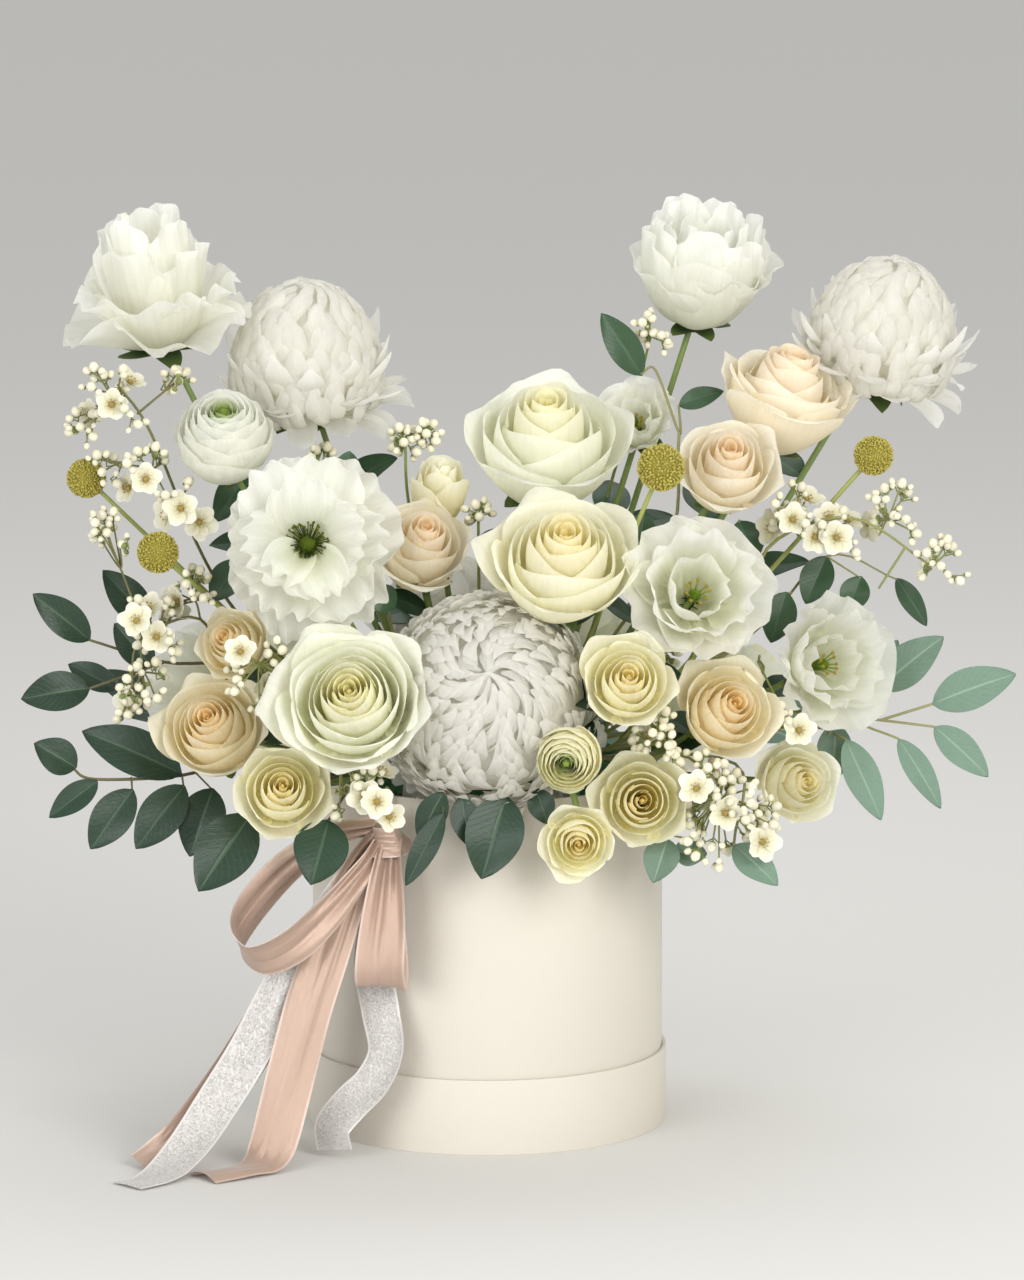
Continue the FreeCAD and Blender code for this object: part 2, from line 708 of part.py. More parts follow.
# ---------------------------------------------------------------- box and insert
def tube(outer, inner, bottom, top):
    """Straight round wall."""
    height = top - bottom
    wall = Part.makeCylinder(outer, height, Vector(0, 0, bottom))
    return wall.cut(Part.makeCylinder(inner, height, Vector(0, 0, bottom)))


def box_parts():
    """Lid used as a tray, and the tall box standing in it."""
    inner = BOX_RADIUS - BOARD
    floor_top = 2 * BOARD
    return {
        "lid_disc": [Part.makeCylinder(BOX_RADIUS + LID_CLEARANCE, BOARD)],
        "lid_rim": [tube(LID_RADIUS, BOX_RADIUS + LID_CLEARANCE, 0, LID_HEIGHT)],
        "box_floor": [Part.makeCylinder(inner, floor_top - BOARD, Vector(0, 0, BOARD))],
        "box_wall": [tube(BOX_RADIUS, inner, BOARD, BOARD + BOX_HEIGHT)],
    }


def liner_parts():
    """Waterproof tray and the bevelled foam with a hole for every stem."""
    bottom = 2 * BOARD
    outer = BOX_RADIUS - BOARD - LINER_CLEARANCE
    inner = outer - LINER_WALL
    tray = Part.makeCylinder(outer, LINER_HEIGHT, Vector(0, 0, bottom))
    tray = tray.cut(Part.makeCylinder(inner, LINER_HEIGHT, Vector(0, 0, bottom + LINER_WALL)))
    foam_bottom = bottom + LINER_WALL
    shoulder = FOAM_TOP - FOAM_BEVEL
    foam = Part.makeCylinder(FOAM_RADIUS, shoulder - foam_bottom, Vector(0, 0, foam_bottom))
    cap = Part.makeCone(FOAM_RADIUS, FOAM_RADIUS - FOAM_BEVEL, FOAM_BEVEL, Vector(0, 0, shoulder))
    foam = foam.fuse(cap).removeSplitter().cut(foam_holes)
    return {"liner_tray": [tray], "floral_foam": foam.Solids}


def bow_parts():
    """Pick with its knot, two loops and four tails."""
    facing = unit(Vector(KNOT_CENTRE[0], KNOT_CENTRE[1], 0))
    pick = [Vector(*point) for point in PICK]
    knot = spheroid(Vector(*KNOT_CENTRE), facing, KNOT_RADIUS, KNOT_HALF_DEPTH)
    rods = [rod(start, end, PICK_RADIUS, PICK_RADIUS) for start, end in zip(pick[:-1], pick[1:])]
    tip = pick[-1] + unit(pick[-1] - pick[-2]) * ROOT_DEPTH * 0.5
    rods.append(rod(pick[-1], tip, PICK_RADIUS, PICK_RADIUS / 2))
    foam_holes.append(rod(pick[-2], tip, PICK_RADIUS, PICK_RADIUS))
    parts = {"bow_pick": [knot] + rods}
    for node, width, stations in RIBBONS:
        parts[node] = [ribbon(width, stations)]
    return parts


foam_holes = []
parts = box_parts()
parts.update(flowers())
for name, row in BRANCHES.items():
    parts[name] = branch(name, row["stems"], row["leaves"])
for name, row in SPRAYS.items():
    parts[name] = spray(name, row["stems"], row["clusters"])
parts.update(bow_parts())
parts.update(liner_parts())

os.makedirs("parts", exist_ok=True)
for name, solids in parts.items():
    save(name, solids)
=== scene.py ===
import math

import bpy
import numpy as np
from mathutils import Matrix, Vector


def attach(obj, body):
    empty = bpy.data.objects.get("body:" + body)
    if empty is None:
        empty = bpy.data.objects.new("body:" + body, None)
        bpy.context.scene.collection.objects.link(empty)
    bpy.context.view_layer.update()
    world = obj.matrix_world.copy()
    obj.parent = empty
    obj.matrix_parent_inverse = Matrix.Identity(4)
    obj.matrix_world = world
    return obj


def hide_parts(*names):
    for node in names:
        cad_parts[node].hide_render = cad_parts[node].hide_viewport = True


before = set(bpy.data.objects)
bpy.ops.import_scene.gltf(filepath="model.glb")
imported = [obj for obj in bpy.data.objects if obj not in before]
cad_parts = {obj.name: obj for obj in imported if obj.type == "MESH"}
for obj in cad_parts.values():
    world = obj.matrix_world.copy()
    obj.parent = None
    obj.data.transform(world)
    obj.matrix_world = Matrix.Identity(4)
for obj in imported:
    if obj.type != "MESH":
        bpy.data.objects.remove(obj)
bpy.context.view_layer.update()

# Flower box: a paper hat box standing in its own lid, with flowers, foliage, sprays and a ribbon bow.
# Everything is in metres in the CAD frame; MM turns millimetres into metres.
MM = 0.001
RNG = np.random.default_rng(740)
rand = RNG.uniform
TURN = 2 * math.pi
GOLDEN = math.radians(137.508)
SHARP_EDGE = math.radians(62)
LEAF_THICK, RIBBON_THICK = 0.5 * MM, 0.35 * MM
JOINT_GAP = 1.5 * MM  # stalks whose ends are closer than this are one stalk
LEAFY_FROM = 222 * MM  # height from which flower stems carry leaves
LEAFY_STEM = 60 * MM  # shortest stem that carries leaves
LARGE_ROSE = 30 * MM  # radius from which a rose is tilted up further and gets more petals
# Full sizes in mm that tell the loose CAD pieces apart: thin plates, slim rods, small buds and blossoms, heads.
PLATE_THICK, PLATE_WIDE, ROD_WIDE, BUD_LONG, BLOSSOM_LONG, BLOSSOM_THICK = 1.2, 5, 5.2, 8, 21, 8


def mm(*values):
    """Millimetres as an array in metres."""
    return np.array(values, float) * MM


def rgb(red, green, blue):
    """Display colour 0-255 as linear light."""
    return [((c / 255 + 0.055) / 1.055) ** 2.4 if c > 10 else c / 3294.6 for c in (red, green, blue)]


def unit(vectors):
    """A vector, or rows of vectors, at length one."""
    vectors = np.asarray(vectors, float)
    return vectors / np.linalg.norm(vectors, axis=-1, keepdims=True)


def polar(axes, angle):
    """Direction at an angle in the plane of the first two axes."""
    return math.cos(angle) * axes[0] + math.sin(angle) * axes[1]


def jitter(amount):
    return rand(-amount, amount)


def any_turn():
    """A random angle or phase."""
    return rand(0, 6)


def vary(tone, amount=0.02):
    return np.clip(np.asarray(tone) * (1 + RNG.normal(0, amount)), 0, 1)


def mix(first, second, share):
    return np.asarray(first) * (1 - share) + np.asarray(second) * share


# ------------------------------------------------------------------ reading the CAD frame
def loose_parts(node):
    """The separate closed pieces of a CAD node as arrays of their corner points."""
    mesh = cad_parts[node].data
    points = np.zeros(len(mesh.vertices) * 3, np.float32)
    mesh.vertices.foreach_get("co", points)
    points = np.round(points.reshape(-1, 3).astype(float), 7)
    keys, merged = np.unique(points, axis=0, return_inverse=True)
    mesh.calc_loop_triangles()
    corners = np.zeros(len(mesh.loop_triangles) * 3, np.int32)
    mesh.loop_triangles.foreach_get("vertices", corners)
    triangles = merged.ravel()[corners].reshape(-1, 3)
    group = np.arange(len(keys))
    while True:
        before = group.copy()
        low = group[triangles].min(axis=1)
        for column in range(3):
            np.minimum.at(group, triangles[:, column], low)
        group = group[group]
        if (group == before).all():
            break
    order = np.argsort(group, kind="stable")
    cuts = np.flatnonzero(np.diff(group[order])) + 1
    return [keys[part] for part in np.split(order, cuts)]


class Piece:
    """One loose CAD piece: its kind, centre, axes (longest first) and half sizes."""

    def __init__(self, points):
        middle = points.mean(axis=0)
        _, _, axes = np.linalg.svd(points - middle, full_matrices=False)
        reach = (points - middle) @ axes.T
        low, high = reach.min(axis=0), reach.max(axis=0)
        order = np.argsort(low - high)
        self.axes = axes[order]
        self.half = ((high - low) / 2)[order]
        self.centre = middle + ((low + high) / 2) @ axes
        self.kind = self.sort()
        if self.kind == "rod":
            along = (points - self.centre) @ self.axes[0]
            across = np.linalg.norm(points - self.centre - along[:, None] * self.axes[0], axis=1)
            self.radii = [across[along < 0].max(), across[along >= 0].max()]

    @property
    def ends(self):
        reach = self.axes[0] * self.half[0]
        return [self.centre - reach, self.centre + reach]

    def sort(self):
        long, wide, thick = self.half / MM * 2
        if thick < PLATE_THICK and wide > PLATE_WIDE:
            return "leaf"
        if wide < ROD_WIDE:
            return "rod"
        if long < BUD_LONG:
            return "bud"
        return "blossom" if long < BLOSSOM_LONG and thick < BLOSSOM_THICK else "head"


def pieces_of(node):
    """The rods of a CAD node, and its other pieces."""
    pieces = [Piece(points) for points in loose_parts(node)]
    return [p for p in pieces if p.kind == "rod"], [p for p in pieces if p.kind != "rod"]


def facing_of(piece, rods):
    """Axis of a head, blossom or bud, pointing away from the stem it sits on."""
    def gap(end):
        return np.linalg.norm(end - piece.centre)
    stem = min(rods, key=lambda rod: min(map(gap, rod.ends)))
    far_end = max(stem.ends, key=gap)
    a, b, c = piece.half
    direction = piece.axes[0] if a - b > b - c else piece.axes[2]
    return direction if direction @ (piece.centre - far_end) > 0 else -direction


def upright(facing):
    """Axes of a flower: right, up and out, seen by someone the flower faces."""
    out = unit(facing)
    right = np.cross([0, 0, 1], out) if abs(out[2]) < 0.97 else np.array([1.0, 0, 0])
    right = unit(right - out * (right @ out))
    return np.array([right, np.cross(out, right), out])


# ------------------------------------------------------------------ building meshes
class Build:
    """Collects quads with a colour and a surface coordinate per corner point."""

    def __init__(self):
        self.points, self.faces, self.tints, self.coords = [], [], [], []
        self.count = 0

    def add(self, points, faces, tints, coords):
        points = points.reshape(-1, 3)
        self.points.append(points)
        self.faces.append(faces + self.count)
        self.tints.append(np.broadcast_to(tints, points.shape))
        self.coords.append(coords.reshape(-1, 3))
        self.count += len(points)

    def make(self, name, material, slot, node):
        """The collected mesh as an object that takes the place of a CAD node."""
        def fill(rows, key, values, kind=np.float32):
            rows.foreach_set(key, values.astype(kind).ravel())

        faces = np.vstack(self.faces)
        mesh = bpy.data.meshes.new(name)
        mesh.vertices.add(self.count)
        fill(mesh.vertices, "co", np.vstack(self.points))
        mesh.loops.add(faces.size)
        fill(mesh.loops, "vertex_index", faces, np.int32)
        mesh.polygons.add(len(faces))
        fill(mesh.polygons, "loop_start", np.arange(0, faces.size, 4), np.int32)
        fill(mesh.polygons, "loop_total", np.full(len(faces), 4), np.int32)
        mesh.update(calc_edges=True)
        mesh.validate()
        mesh.shade_smooth()
        mesh.set_sharp_from_angle(angle=SHARP_EDGE)
        colours = np.hstack([np.vstack(self.tints), np.ones((self.count, 1))])
        fill(mesh.attributes.new("tint", "FLOAT_COLOR", "POINT").data, "color", colours)
        fill(mesh.attributes.new("place", "FLOAT_VECTOR", "POINT").data, "vector", np.vstack(self.coords))
        mesh.materials.append(material)
        obj = bpy.data.objects.new(name, mesh)
        bpy.context.scene.collection.objects.link(obj)
        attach(obj, "insert")
        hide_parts(node)
        return obj


def grid_faces(rows, columns, loop=False):
    """Quads of a grid, closed round its columns when loop is set."""
    i = np.arange(rows - 1)[:, None]
    j = np.arange(columns if loop else columns - 1)[None, :]
    k = (j + 1) % columns
    quads = [i * columns + j, i * columns + k, (i + 1) * columns + k, (i + 1) * columns + j]
    return np.stack(quads, axis=-1).reshape(-1, 4)


def tube_faces(rows, sides):
    """Quads of a row of rings, with its two ends closed."""
    faces = [grid_faces(rows, sides, loop=True)]
    for first, step in ((0, -1), ((rows - 1) * sides, 1)):
        for k in range(1, sides - 2, 2):
            faces.append([[first, first + k, first + k + 1, first + k + 2][::step]])
    return np.vstack(faces)


def surface(u, v, number):
    """Surface coordinates (across, along, piece number) of a grid."""
    return np.stack(np.broadcast_arrays(u, v, number), axis=-1)


def add_sheet(build, grid, thickness, tints, coords):
    """Thin sheet: a single skin without thickness, otherwise front, back and a narrow rim between them."""
    rows, columns = grid.shape[:2]
    quads = grid_faces(rows, columns)
    tints, coords = tints.reshape(-1, 3), coords.reshape(-1, 3)
    if not thickness:
        build.add(grid, quads, tints, coords)
        return
    normal = np.cross(np.gradient(grid, axis=1), np.gradient(grid, axis=0))
    normal /= np.maximum(np.linalg.norm(normal, axis=2, keepdims=True), 1e-12)
    skins = np.stack([grid + normal * thickness / 2, grid - normal * thickness / 2])
    count = rows * columns
    index = np.arange(count).reshape(rows, columns)
    rim = np.concatenate([index[0, :-1], index[:-1, -1], index[-1, :0:-1], index[:0:-1, 0]])
    after = np.roll(rim, -1)
    band = np.stack([after, rim, rim + count, after + count], axis=1)
    faces = np.vstack([quads, quads[:, ::-1] + count, band])
    build.add(skins, faces, np.vstack([tints, tints]), np.vstack([coords, coords]))


def bezier(controls, v):
    """Points and unit tangents of a cubic curve in the (radius, height) plane."""
    p0, p1, p2, p3 = np.asarray(controls, float)
    v = v[..., None]
    w = 1 - v
    point = w ** 3 * p0 + 3 * w * w * v * p1 + 3 * w * v * v * p2 + v ** 3 * p3
    slope = 3 * w * w * (p1 - p0) + 6 * w * v * (p2 - p1) + 3 * v * v * (p3 - p2)
    return point, slope / np.maximum(np.linalg.norm(slope, axis=-1, keepdims=True), 1e-9)


def blade_width(v, widest, base, tip, power):
    """Relative half width of a petal along its length."""
    rise = base + (1 - base) * np.sin(np.clip(v / widest, 0, 1) * math.pi / 2)
    fall = np.clip((v - widest) / (1 - widest), 0, 1)
    return np.where(v < widest, rise, tip + (1 - tip) * (1 - fall ** power) ** (1 / power))


def add_petal(build, axes, centre, azimuth, controls, width, colours, wrap=1.0, widest=0.62, base=0.3,
              tip=0.85, power=2.4, crown=0.3, ruffle=0.0, waves=3.0, phase=0.0, roll=0.0, sway=0.0,
              spiral=0.0, fade=1.4, cup=50.0, steps=(8, 9), thickness=0.0, number=0.0):
    """One petal: a midline in the (radius, height) plane, wrapped sideways round the flower.

    crown shortens the petal towards its sides, which rounds the lip; a small tip makes it pointed;
    cup is the largest radius of its hollow, in half widths.
    """
    across, along = steps
    v = np.linspace(0, 1, along + 1)[:, None]
    u = np.linspace(-1, 1, across + 1)[None, :]
    u = np.sign(u) * np.abs(u) ** 0.85
    middle, tangent = bezier(controls, v * (1 - crown * np.abs(u) ** 2.6))
    radius, height = middle[..., 0], middle[..., 1]
    half = width * blade_width(v, widest, base, tip, power)
    bend = np.minimum(wrap * np.maximum(radius, 0.35 * width), cup * width)
    angle = np.clip(u * half / bend, -2.0, 2.0)
    side = bend * np.sin(angle)
    edge = np.maximum(v ** 3, np.abs(u) ** 3 * np.sqrt(v))
    lift = bend * (1 - np.cos(angle)) + ruffle * edge * np.sin(waves * math.pi * u + phase + 2.2 * v)
    lift = lift - roll * (np.abs(u) ** 4 * v + v ** 6)
    radial = radius * (1 + spiral * u) - tangent[..., 1] * lift
    upward = height + tangent[..., 0] * lift
    turn = azimuth + sway * v
    east = radial * np.cos(turn) - side * np.sin(turn)
    north = radial * np.sin(turn) + side * np.cos(turn)
    grid = centre + np.stack([east, north, upward], axis=-1) @ axes
    tints = mix(*colours, (v ** fade + 0 * u)[..., None])
    add_sheet(build, grid, thickness, tints, surface(u, v, number))


def add_tube(build, path, radii, tint, sides=8):
    """Round closed tube along points, tapering between the given radii."""
    path = np.asarray(path, float)
    tangent = unit(np.gradient(path, axis=0))
    helper = np.array([0.3, 0.9, 0.1])
    if abs(tangent[0] @ helper) >= 0.9:
        helper = np.array([1.0, 0, 0])
    side = unit(np.cross(tangent, helper))
    other = np.cross(tangent, side)
    angles = np.arange(sides) * TURN / sides
    caps = [[(path[end] + step * tangent[end] * radii[end] * out, radii[end] * size, end)
             for size, out in ((0.05, 0.9), (0.7, 0.6))] for end, step in ((0, -1), (-1, 1))]
    rings = caps[0] + [(p, r, i) for i, (p, r) in enumerate(zip(path, radii))] + caps[1][::-1]
    cos, sin = np.cos(angles)[:, None], np.sin(angles)[:, None]
    points = np.stack([place + size * (cos * side[i] + sin * other[i]) for place, size, i in rings])
    coords = surface(angles / math.pi - 1, np.linspace(0, 1, len(rings))[:, None], rand(0, 9))
    build.add(points, tube_faces(len(rings), sides), tint, coords)


def add_ball(build, centre, axes, sizes, tint, rows=8, sides=12, bumps=0.0):
    """Closed ellipsoid with optional small bumps."""
    theta = np.linspace(0.04, math.pi - 0.04, rows)[:, None]
    phi = (np.arange(sides) * TURN / sides)[None, :]
    shape = [np.sin(theta) * np.cos(phi), np.sin(theta) * np.sin(phi), np.cos(theta) + 0 * phi]
    swell = 1 + bumps * np.sin(5 * phi) * np.sin(theta)
    points = centre + (np.stack(shape, axis=-1) * np.asarray(sizes) * swell[..., None]) @ axes
    coords = surface(np.linspace(-1, 1, sides), np.linspace(0, 1, rows)[:, None], rand(0, 9))
    build.add(points, tube_faces(rows, sides)[:, ::-1], tint, coords)


# ------------------------------------------------------------------ flowers
class Head:
    """One flower head: centre, axes (right, up, out), size (radius, depth) and the radius of its CAD solid."""

    def __init__(self, build, piece, rods, size=None):
        self.build, self.centre = build, piece.centre
        a, b, c = piece.half
        self.cad_radius, half_depth = (b, a) if a - b > b - c else (a, c)
        self.size = size or (self.cad_radius * 1.06, half_depth * 2.1)
        self.face(facing_of(piece, rods))

    def face(self, out):
        self.out, self.axes = unit(out), upright(out)

    def lift(self, amount):
        """Turns the flower more towards the ceiling."""
        self.face(self.out + np.array([0, 0, amount]))

    def petal(self, azimuth, controls, **shape):
        add_petal(self.build, self.axes, self.centre, azimuth, controls, **shape)

    def ball(self, height, sizes, tint, **shape):
        add_ball(self.build, self.centre + self.out * height, self.axes, sizes, tint, **shape)

    def middle(self, height, wide, tall, tint, bumps=0.0):
        """A small ball on the axis; all three measures are shares of the flower's size."""
        radius, depth = self.size
        self.ball(height * depth, (wide * radius, wide * radius, tall * depth), tint, bumps=bumps)

    def stamen(self, floor, spread, angle, height, arch, filament, anther):
        """A filament (radius, sides, colour) from floor, with an anther (sizes, rows, colour) on its tip."""
        tip = floor + polar(self.axes, angle) * spread + self.out * height
        radius, sides, tint = filament
        add_tube(self.build, [floor, (floor + tip) / 2 + self.out * arch, tip], [radius] * 3, tint, sides)
        sizes, rows, tint = anther
        add_ball(self.build, tip, self.axes, sizes, tint, rows, 6)


def tones(heart, body, lip):
    return {"heart": rgb(*heart), "body": rgb(*body), "lip": rgb(*lip)}


def heart_to_lip(tone, low=0.02, high=0.02):
    return vary(tone["heart"], low), vary(tone["lip"], high)


WHITE = tones((246, 248, 228), (251, 252, 242), (253, 253, 248))
GREENISH = tones((243, 245, 207), (252, 251, 241), (253, 253, 247))
IVORY = tones((250, 244, 198), (251, 251, 232), (252, 253, 243))
CREAM = tones((252, 242, 190), (253, 250, 224), (253, 252, 237))
YELLOW = tones((254, 243, 200), (254, 250, 216), (254, 252, 231))
PEACH = tones((252, 231, 182), (253, 244, 210), (254, 248, 226))
BLUSH = tones((252, 232, 198), (253, 245, 222), (254, 249, 235))
PURE = tones((252, 251, 243), (252, 251, 247), (252, 251, 248))


def calyx(head, reach):
    """Green sepals and ovary under a head."""
    green, pale = rgb(86, 112, 56), rgb(132, 152, 88)
    base = -0.5 * head.size[1]
    for i in range(5):
        length = reach * head.cad_radius * rand(0.75, 1.1)
        controls = [(0.5 * MM, base - 1.5 * MM), (0.5 * length, base - 2.5 * MM),
                    (length, base + 1 * MM), (1.15 * length, base + jitter(5 * MM) - 3 * MM)]
        head.petal(i * TURN / 5 + jitter(0.2), controls, width=0.16 * head.cad_radius + 1.2 * MM,
                   colours=(vary(green), vary(pale)), wrap=1.2, widest=0.3, base=0.7, tip=0.03, power=1.3,
                   crown=0, steps=(4, 7), thickness=LEAF_THICK, number=90 + i)
    head.ball(base - 1.5 * MM, mm(3.4, 3.4, 4.2), green)


def rose(head, tone, petals, flared=6, lips=0.7, ruffle=0.03):
    """Shells wrapped round each other, each lip lower than the one inside; the outer petals flare."""
    radius, depth = head.size
    base = -0.5 * depth
    start = any_turn()
    for i in range(petals):
        t = i / (petals - 1)
        flare = max(0.0, (i - petals + flared + 1) / flared)
        rim = radius * (0.06 + 0.82 * t ** 1.12) * (1 + jitter(0.03) * t)
        top = depth * (0.40 + 0.09 * math.sin(math.pi * min(1, 1.7 * t)) - 0.36 * t ** 2.1)
        foot = (0.04 * radius + 0.2 * rim, base)
        shut = [foot, (1.22 * rim, base + 0.08 * depth), (1.20 * rim, top - 0.12 * depth), (0.90 * rim, top)]
        spread = [foot, (1.10 * rim, base + 0.04 * depth), (0.98 * rim, top + 0.12 * depth * lips),
                  (rim * (1.02 + 0.26 * lips), top + jitter(0.05) * depth)]
        inner = mix(tone["heart"], tone["body"], min(1, 1.5 * t))
        outer = mix(tone["heart"], tone["lip"], min(1, 0.25 + 1.2 * t))
        head.petal(start + i * GOLDEN + jitter(0.16), mix(shut, spread, flare ** 0.8),
                   width=rim * (2.0 - 0.74 * t), colours=(vary(inner, 0.01), vary(outer, 0.01)),
                   wrap=1.0 + 0.12 * flare, widest=0.55, base=0.34, tip=0.84,
                   crown=0.05 + 0.04 * t + 0.15 * flare, ruffle=ruffle * radius * t * rand(0.5, 1.6),
                   waves=rand(0.8, 1.8), phase=any_turn(), roll=0.05 * radius * (0.35 + 0.65 * t),
                   spiral=0.09 - 0.03 * t, steps=(18, 15), number=i)
    head.middle(0.16, 0.06, 0.2, tone["heart"])
    calyx(head, 0.55)


def ranunculus(head, tone, petals=46):
    """Many thin tight cups round a small green centre."""
    radius, depth = head.size
    start = any_turn()
    for i in range(petals):
        t = i / (petals - 1)
        rim = radius * (0.10 + 0.80 * t ** 0.9)
        top = depth * (0.42 + 0.06 * math.sin(math.pi * t) - 0.34 * t ** 3)
        controls = [(0.1 * rim, -0.5 * depth), (rim * 1.14, -0.40 * depth), (rim * 1.10, top - 0.10 * depth),
                    (rim * (0.88 + 0.14 * t ** 3), top + jitter(0.02) * depth)]
        green = max(0.0, 1 - 3.2 * t)
        inner = mix(tone["body"], rgb(150, 176, 70), green)
        outer = mix(tone["lip"], rgb(172, 192, 92), green)
        head.petal(start + i * GOLDEN, controls, width=rim * (1.5 - 0.5 * t),
                   colours=(vary(inner), vary(outer)), widest=0.6, tip=0.8, crown=0.22,
                   ruffle=0.02 * radius * t, waves=2.4, phase=any_turn(), spiral=0.05, steps=(10, 9), number=i)
    head.middle(0.30, 0.13, 0.14, rgb(168, 188, 92), bumps=0.1)
    calyx(head, 0.5)


def dome(head, tone, petals, petal_width, curl, hook, lower, guards=0, skirt=0.0, lift=0.0, ball=1.0,
         tangle=0.1, crown=0.36, cup=2.5):
    """Chrysanthemum: incurved spoon petals packed over a dome, with rings of longer guard petals.

    petal_width and ball are shares of the head's radius; lower is where the dome ends, in degrees
    from its top.
    """
    full, depth = head.size
    radius, petal_width = ball * full, petal_width * full
    sink, rise = -0.20 * depth, 0.70 * depth

    def shell(angle, scale=1.0):
        return np.array([scale * radius * math.sin(angle), sink + scale * rise * math.cos(angle)])

    head.ball(sink + 0.26 * rise, (0.88 * radius, 0.88 * radius, 0.62 * rise), tone["heart"], rows=12, sides=18)
    for i in range(petals):
        t = (i + 0.5) / petals
        angle = math.acos(1 - t * (1 - math.cos(math.radians(lower)))) + jitter(0.5 * tangle)
        reach = rand(0.97, 1.02)
        tuck = curl * rand(0.6, 1.3)
        drop = skirt * max(0.0, t - 0.70) * radius
        tip = shell(angle - tuck, (0.98 + lift) * reach) + np.array([0.35, -0.9]) * drop
        controls = [0.86 * shell(angle + 0.28), shell(angle + 0.21, 0.95),
                    shell(angle + hook, 1.04 * reach), tip]
        controls[0][0] = max(controls[0][0], 0.4 * MM)
        width = petal_width * rand(0.85, 1.12) * (0.55 + 0.45 * min(1, 5 * t) ** 0.5)
        width *= 1 + 0.6 * skirt * (t > 0.86)
        head.petal(i * GOLDEN + jitter(tangle), controls, width=width, colours=heart_to_lip(tone, 0.01, 0.012),
                   cup=cup, widest=0.7, base=0.85, tip=0.80, crown=crown, ruffle=0.06 * petal_width, waves=1.4,
                   phase=any_turn(), sway=jitter(1.6 * tangle) + 0.9 * max(0.0, 1 - 6 * t), fade=0.6,
                   steps=(6, 9), number=i)
    for i in range(guards):
        ring = i % 3
        out = full * rand(0.94, 1.16) * (1.0, 0.95, 0.86)[ring]
        level = (-0.40 + 0.09 * ring) * depth
        rise_tip = (-0.04, 0.14, 0.34)[ring] + jitter(0.08)
        controls = [(0.2 * full, level), (0.60 * out, level - 0.04 * depth),
                    (0.90 * out, level + 0.02 * depth), (out, level + rise_tip * depth)]
        head.petal(i * TURN / guards + jitter(0.2), controls, width=1.6 * petal_width * rand(0.85, 1.25),
                   colours=heart_to_lip(tone), cup=1.7, base=0.5, tip=0.26, power=2.0, crown=0.05,
                   ruffle=0.07 * petal_width, waves=1.2, phase=any_turn(), sway=jitter(0.12), steps=(8, 12),
                   number=200 + i)
    calyx(head, 0.35)


def ruffled_cup(head, tone, rings, ruffle, eye):
    """Lisianthus and peony cups: rings of (petals, rim, height, flare) from inside to outside."""
    radius, depth = head.size
    low = mix(tone["body"], tone["heart"], 1.0 if eye else 0.15)
    number = 0
    for petals, rim_share, high, flare in rings:
        start = any_turn()
        for i in range(petals):
            rim = radius * rim_share * rand(0.93, 1.05)
            top = depth * (high + jitter(0.05))
            controls = [(0.05 * radius, -0.5 * depth), (rim * (1 - 0.35 * max(flare, 0)), -0.46 * depth),
                        (rim * (1 - 0.22 * flare), top - 0.30 * depth * (1 - 0.6 * flare)),
                        (rim * (1 + 0.10 * flare), top)]
            head.petal(start + (i + jitter(0.12)) * TURN / petals, controls, width=rim * (2.9 / petals + 0.28),
                       colours=(vary(low), vary(tone["lip"])), wrap=1.05, widest=0.72, base=0.28, tip=0.92,
                       crown=0.22, fade=0.25 if eye else 0.7,
                       ruffle=ruffle * radius * rim_share * rand(0.6, 1.3),
                       waves=rand(1.8, 3.6), phase=any_turn(), roll=0.05 * radius * max(flare, 0),
                       sway=jitter(0.12), spiral=0.05, steps=(16, 12), number=number)
            number += 1
    calyx(head, 0.5)


def green_eye(head):
    """Stigma and short stamens in the throat of a lisianthus."""
    radius, depth = head.size
    floor = head.centre - head.out * 0.38 * depth
    head.middle(-0.20, 0.09, 0.2, rgb(150, 178, 60), bumps=0.15)
    for i in range(9):
        head.stamen(floor, 0.17 * radius, i * TURN / 9 + jitter(0.2), (0.42 + jitter(0.06)) * depth,
                    0.04 * depth, (0.5 * MM, 5, rgb(196, 208, 120)),
                    (mm(1.2, 1.2, 0.9), 5, rgb(206, 190, 96)))


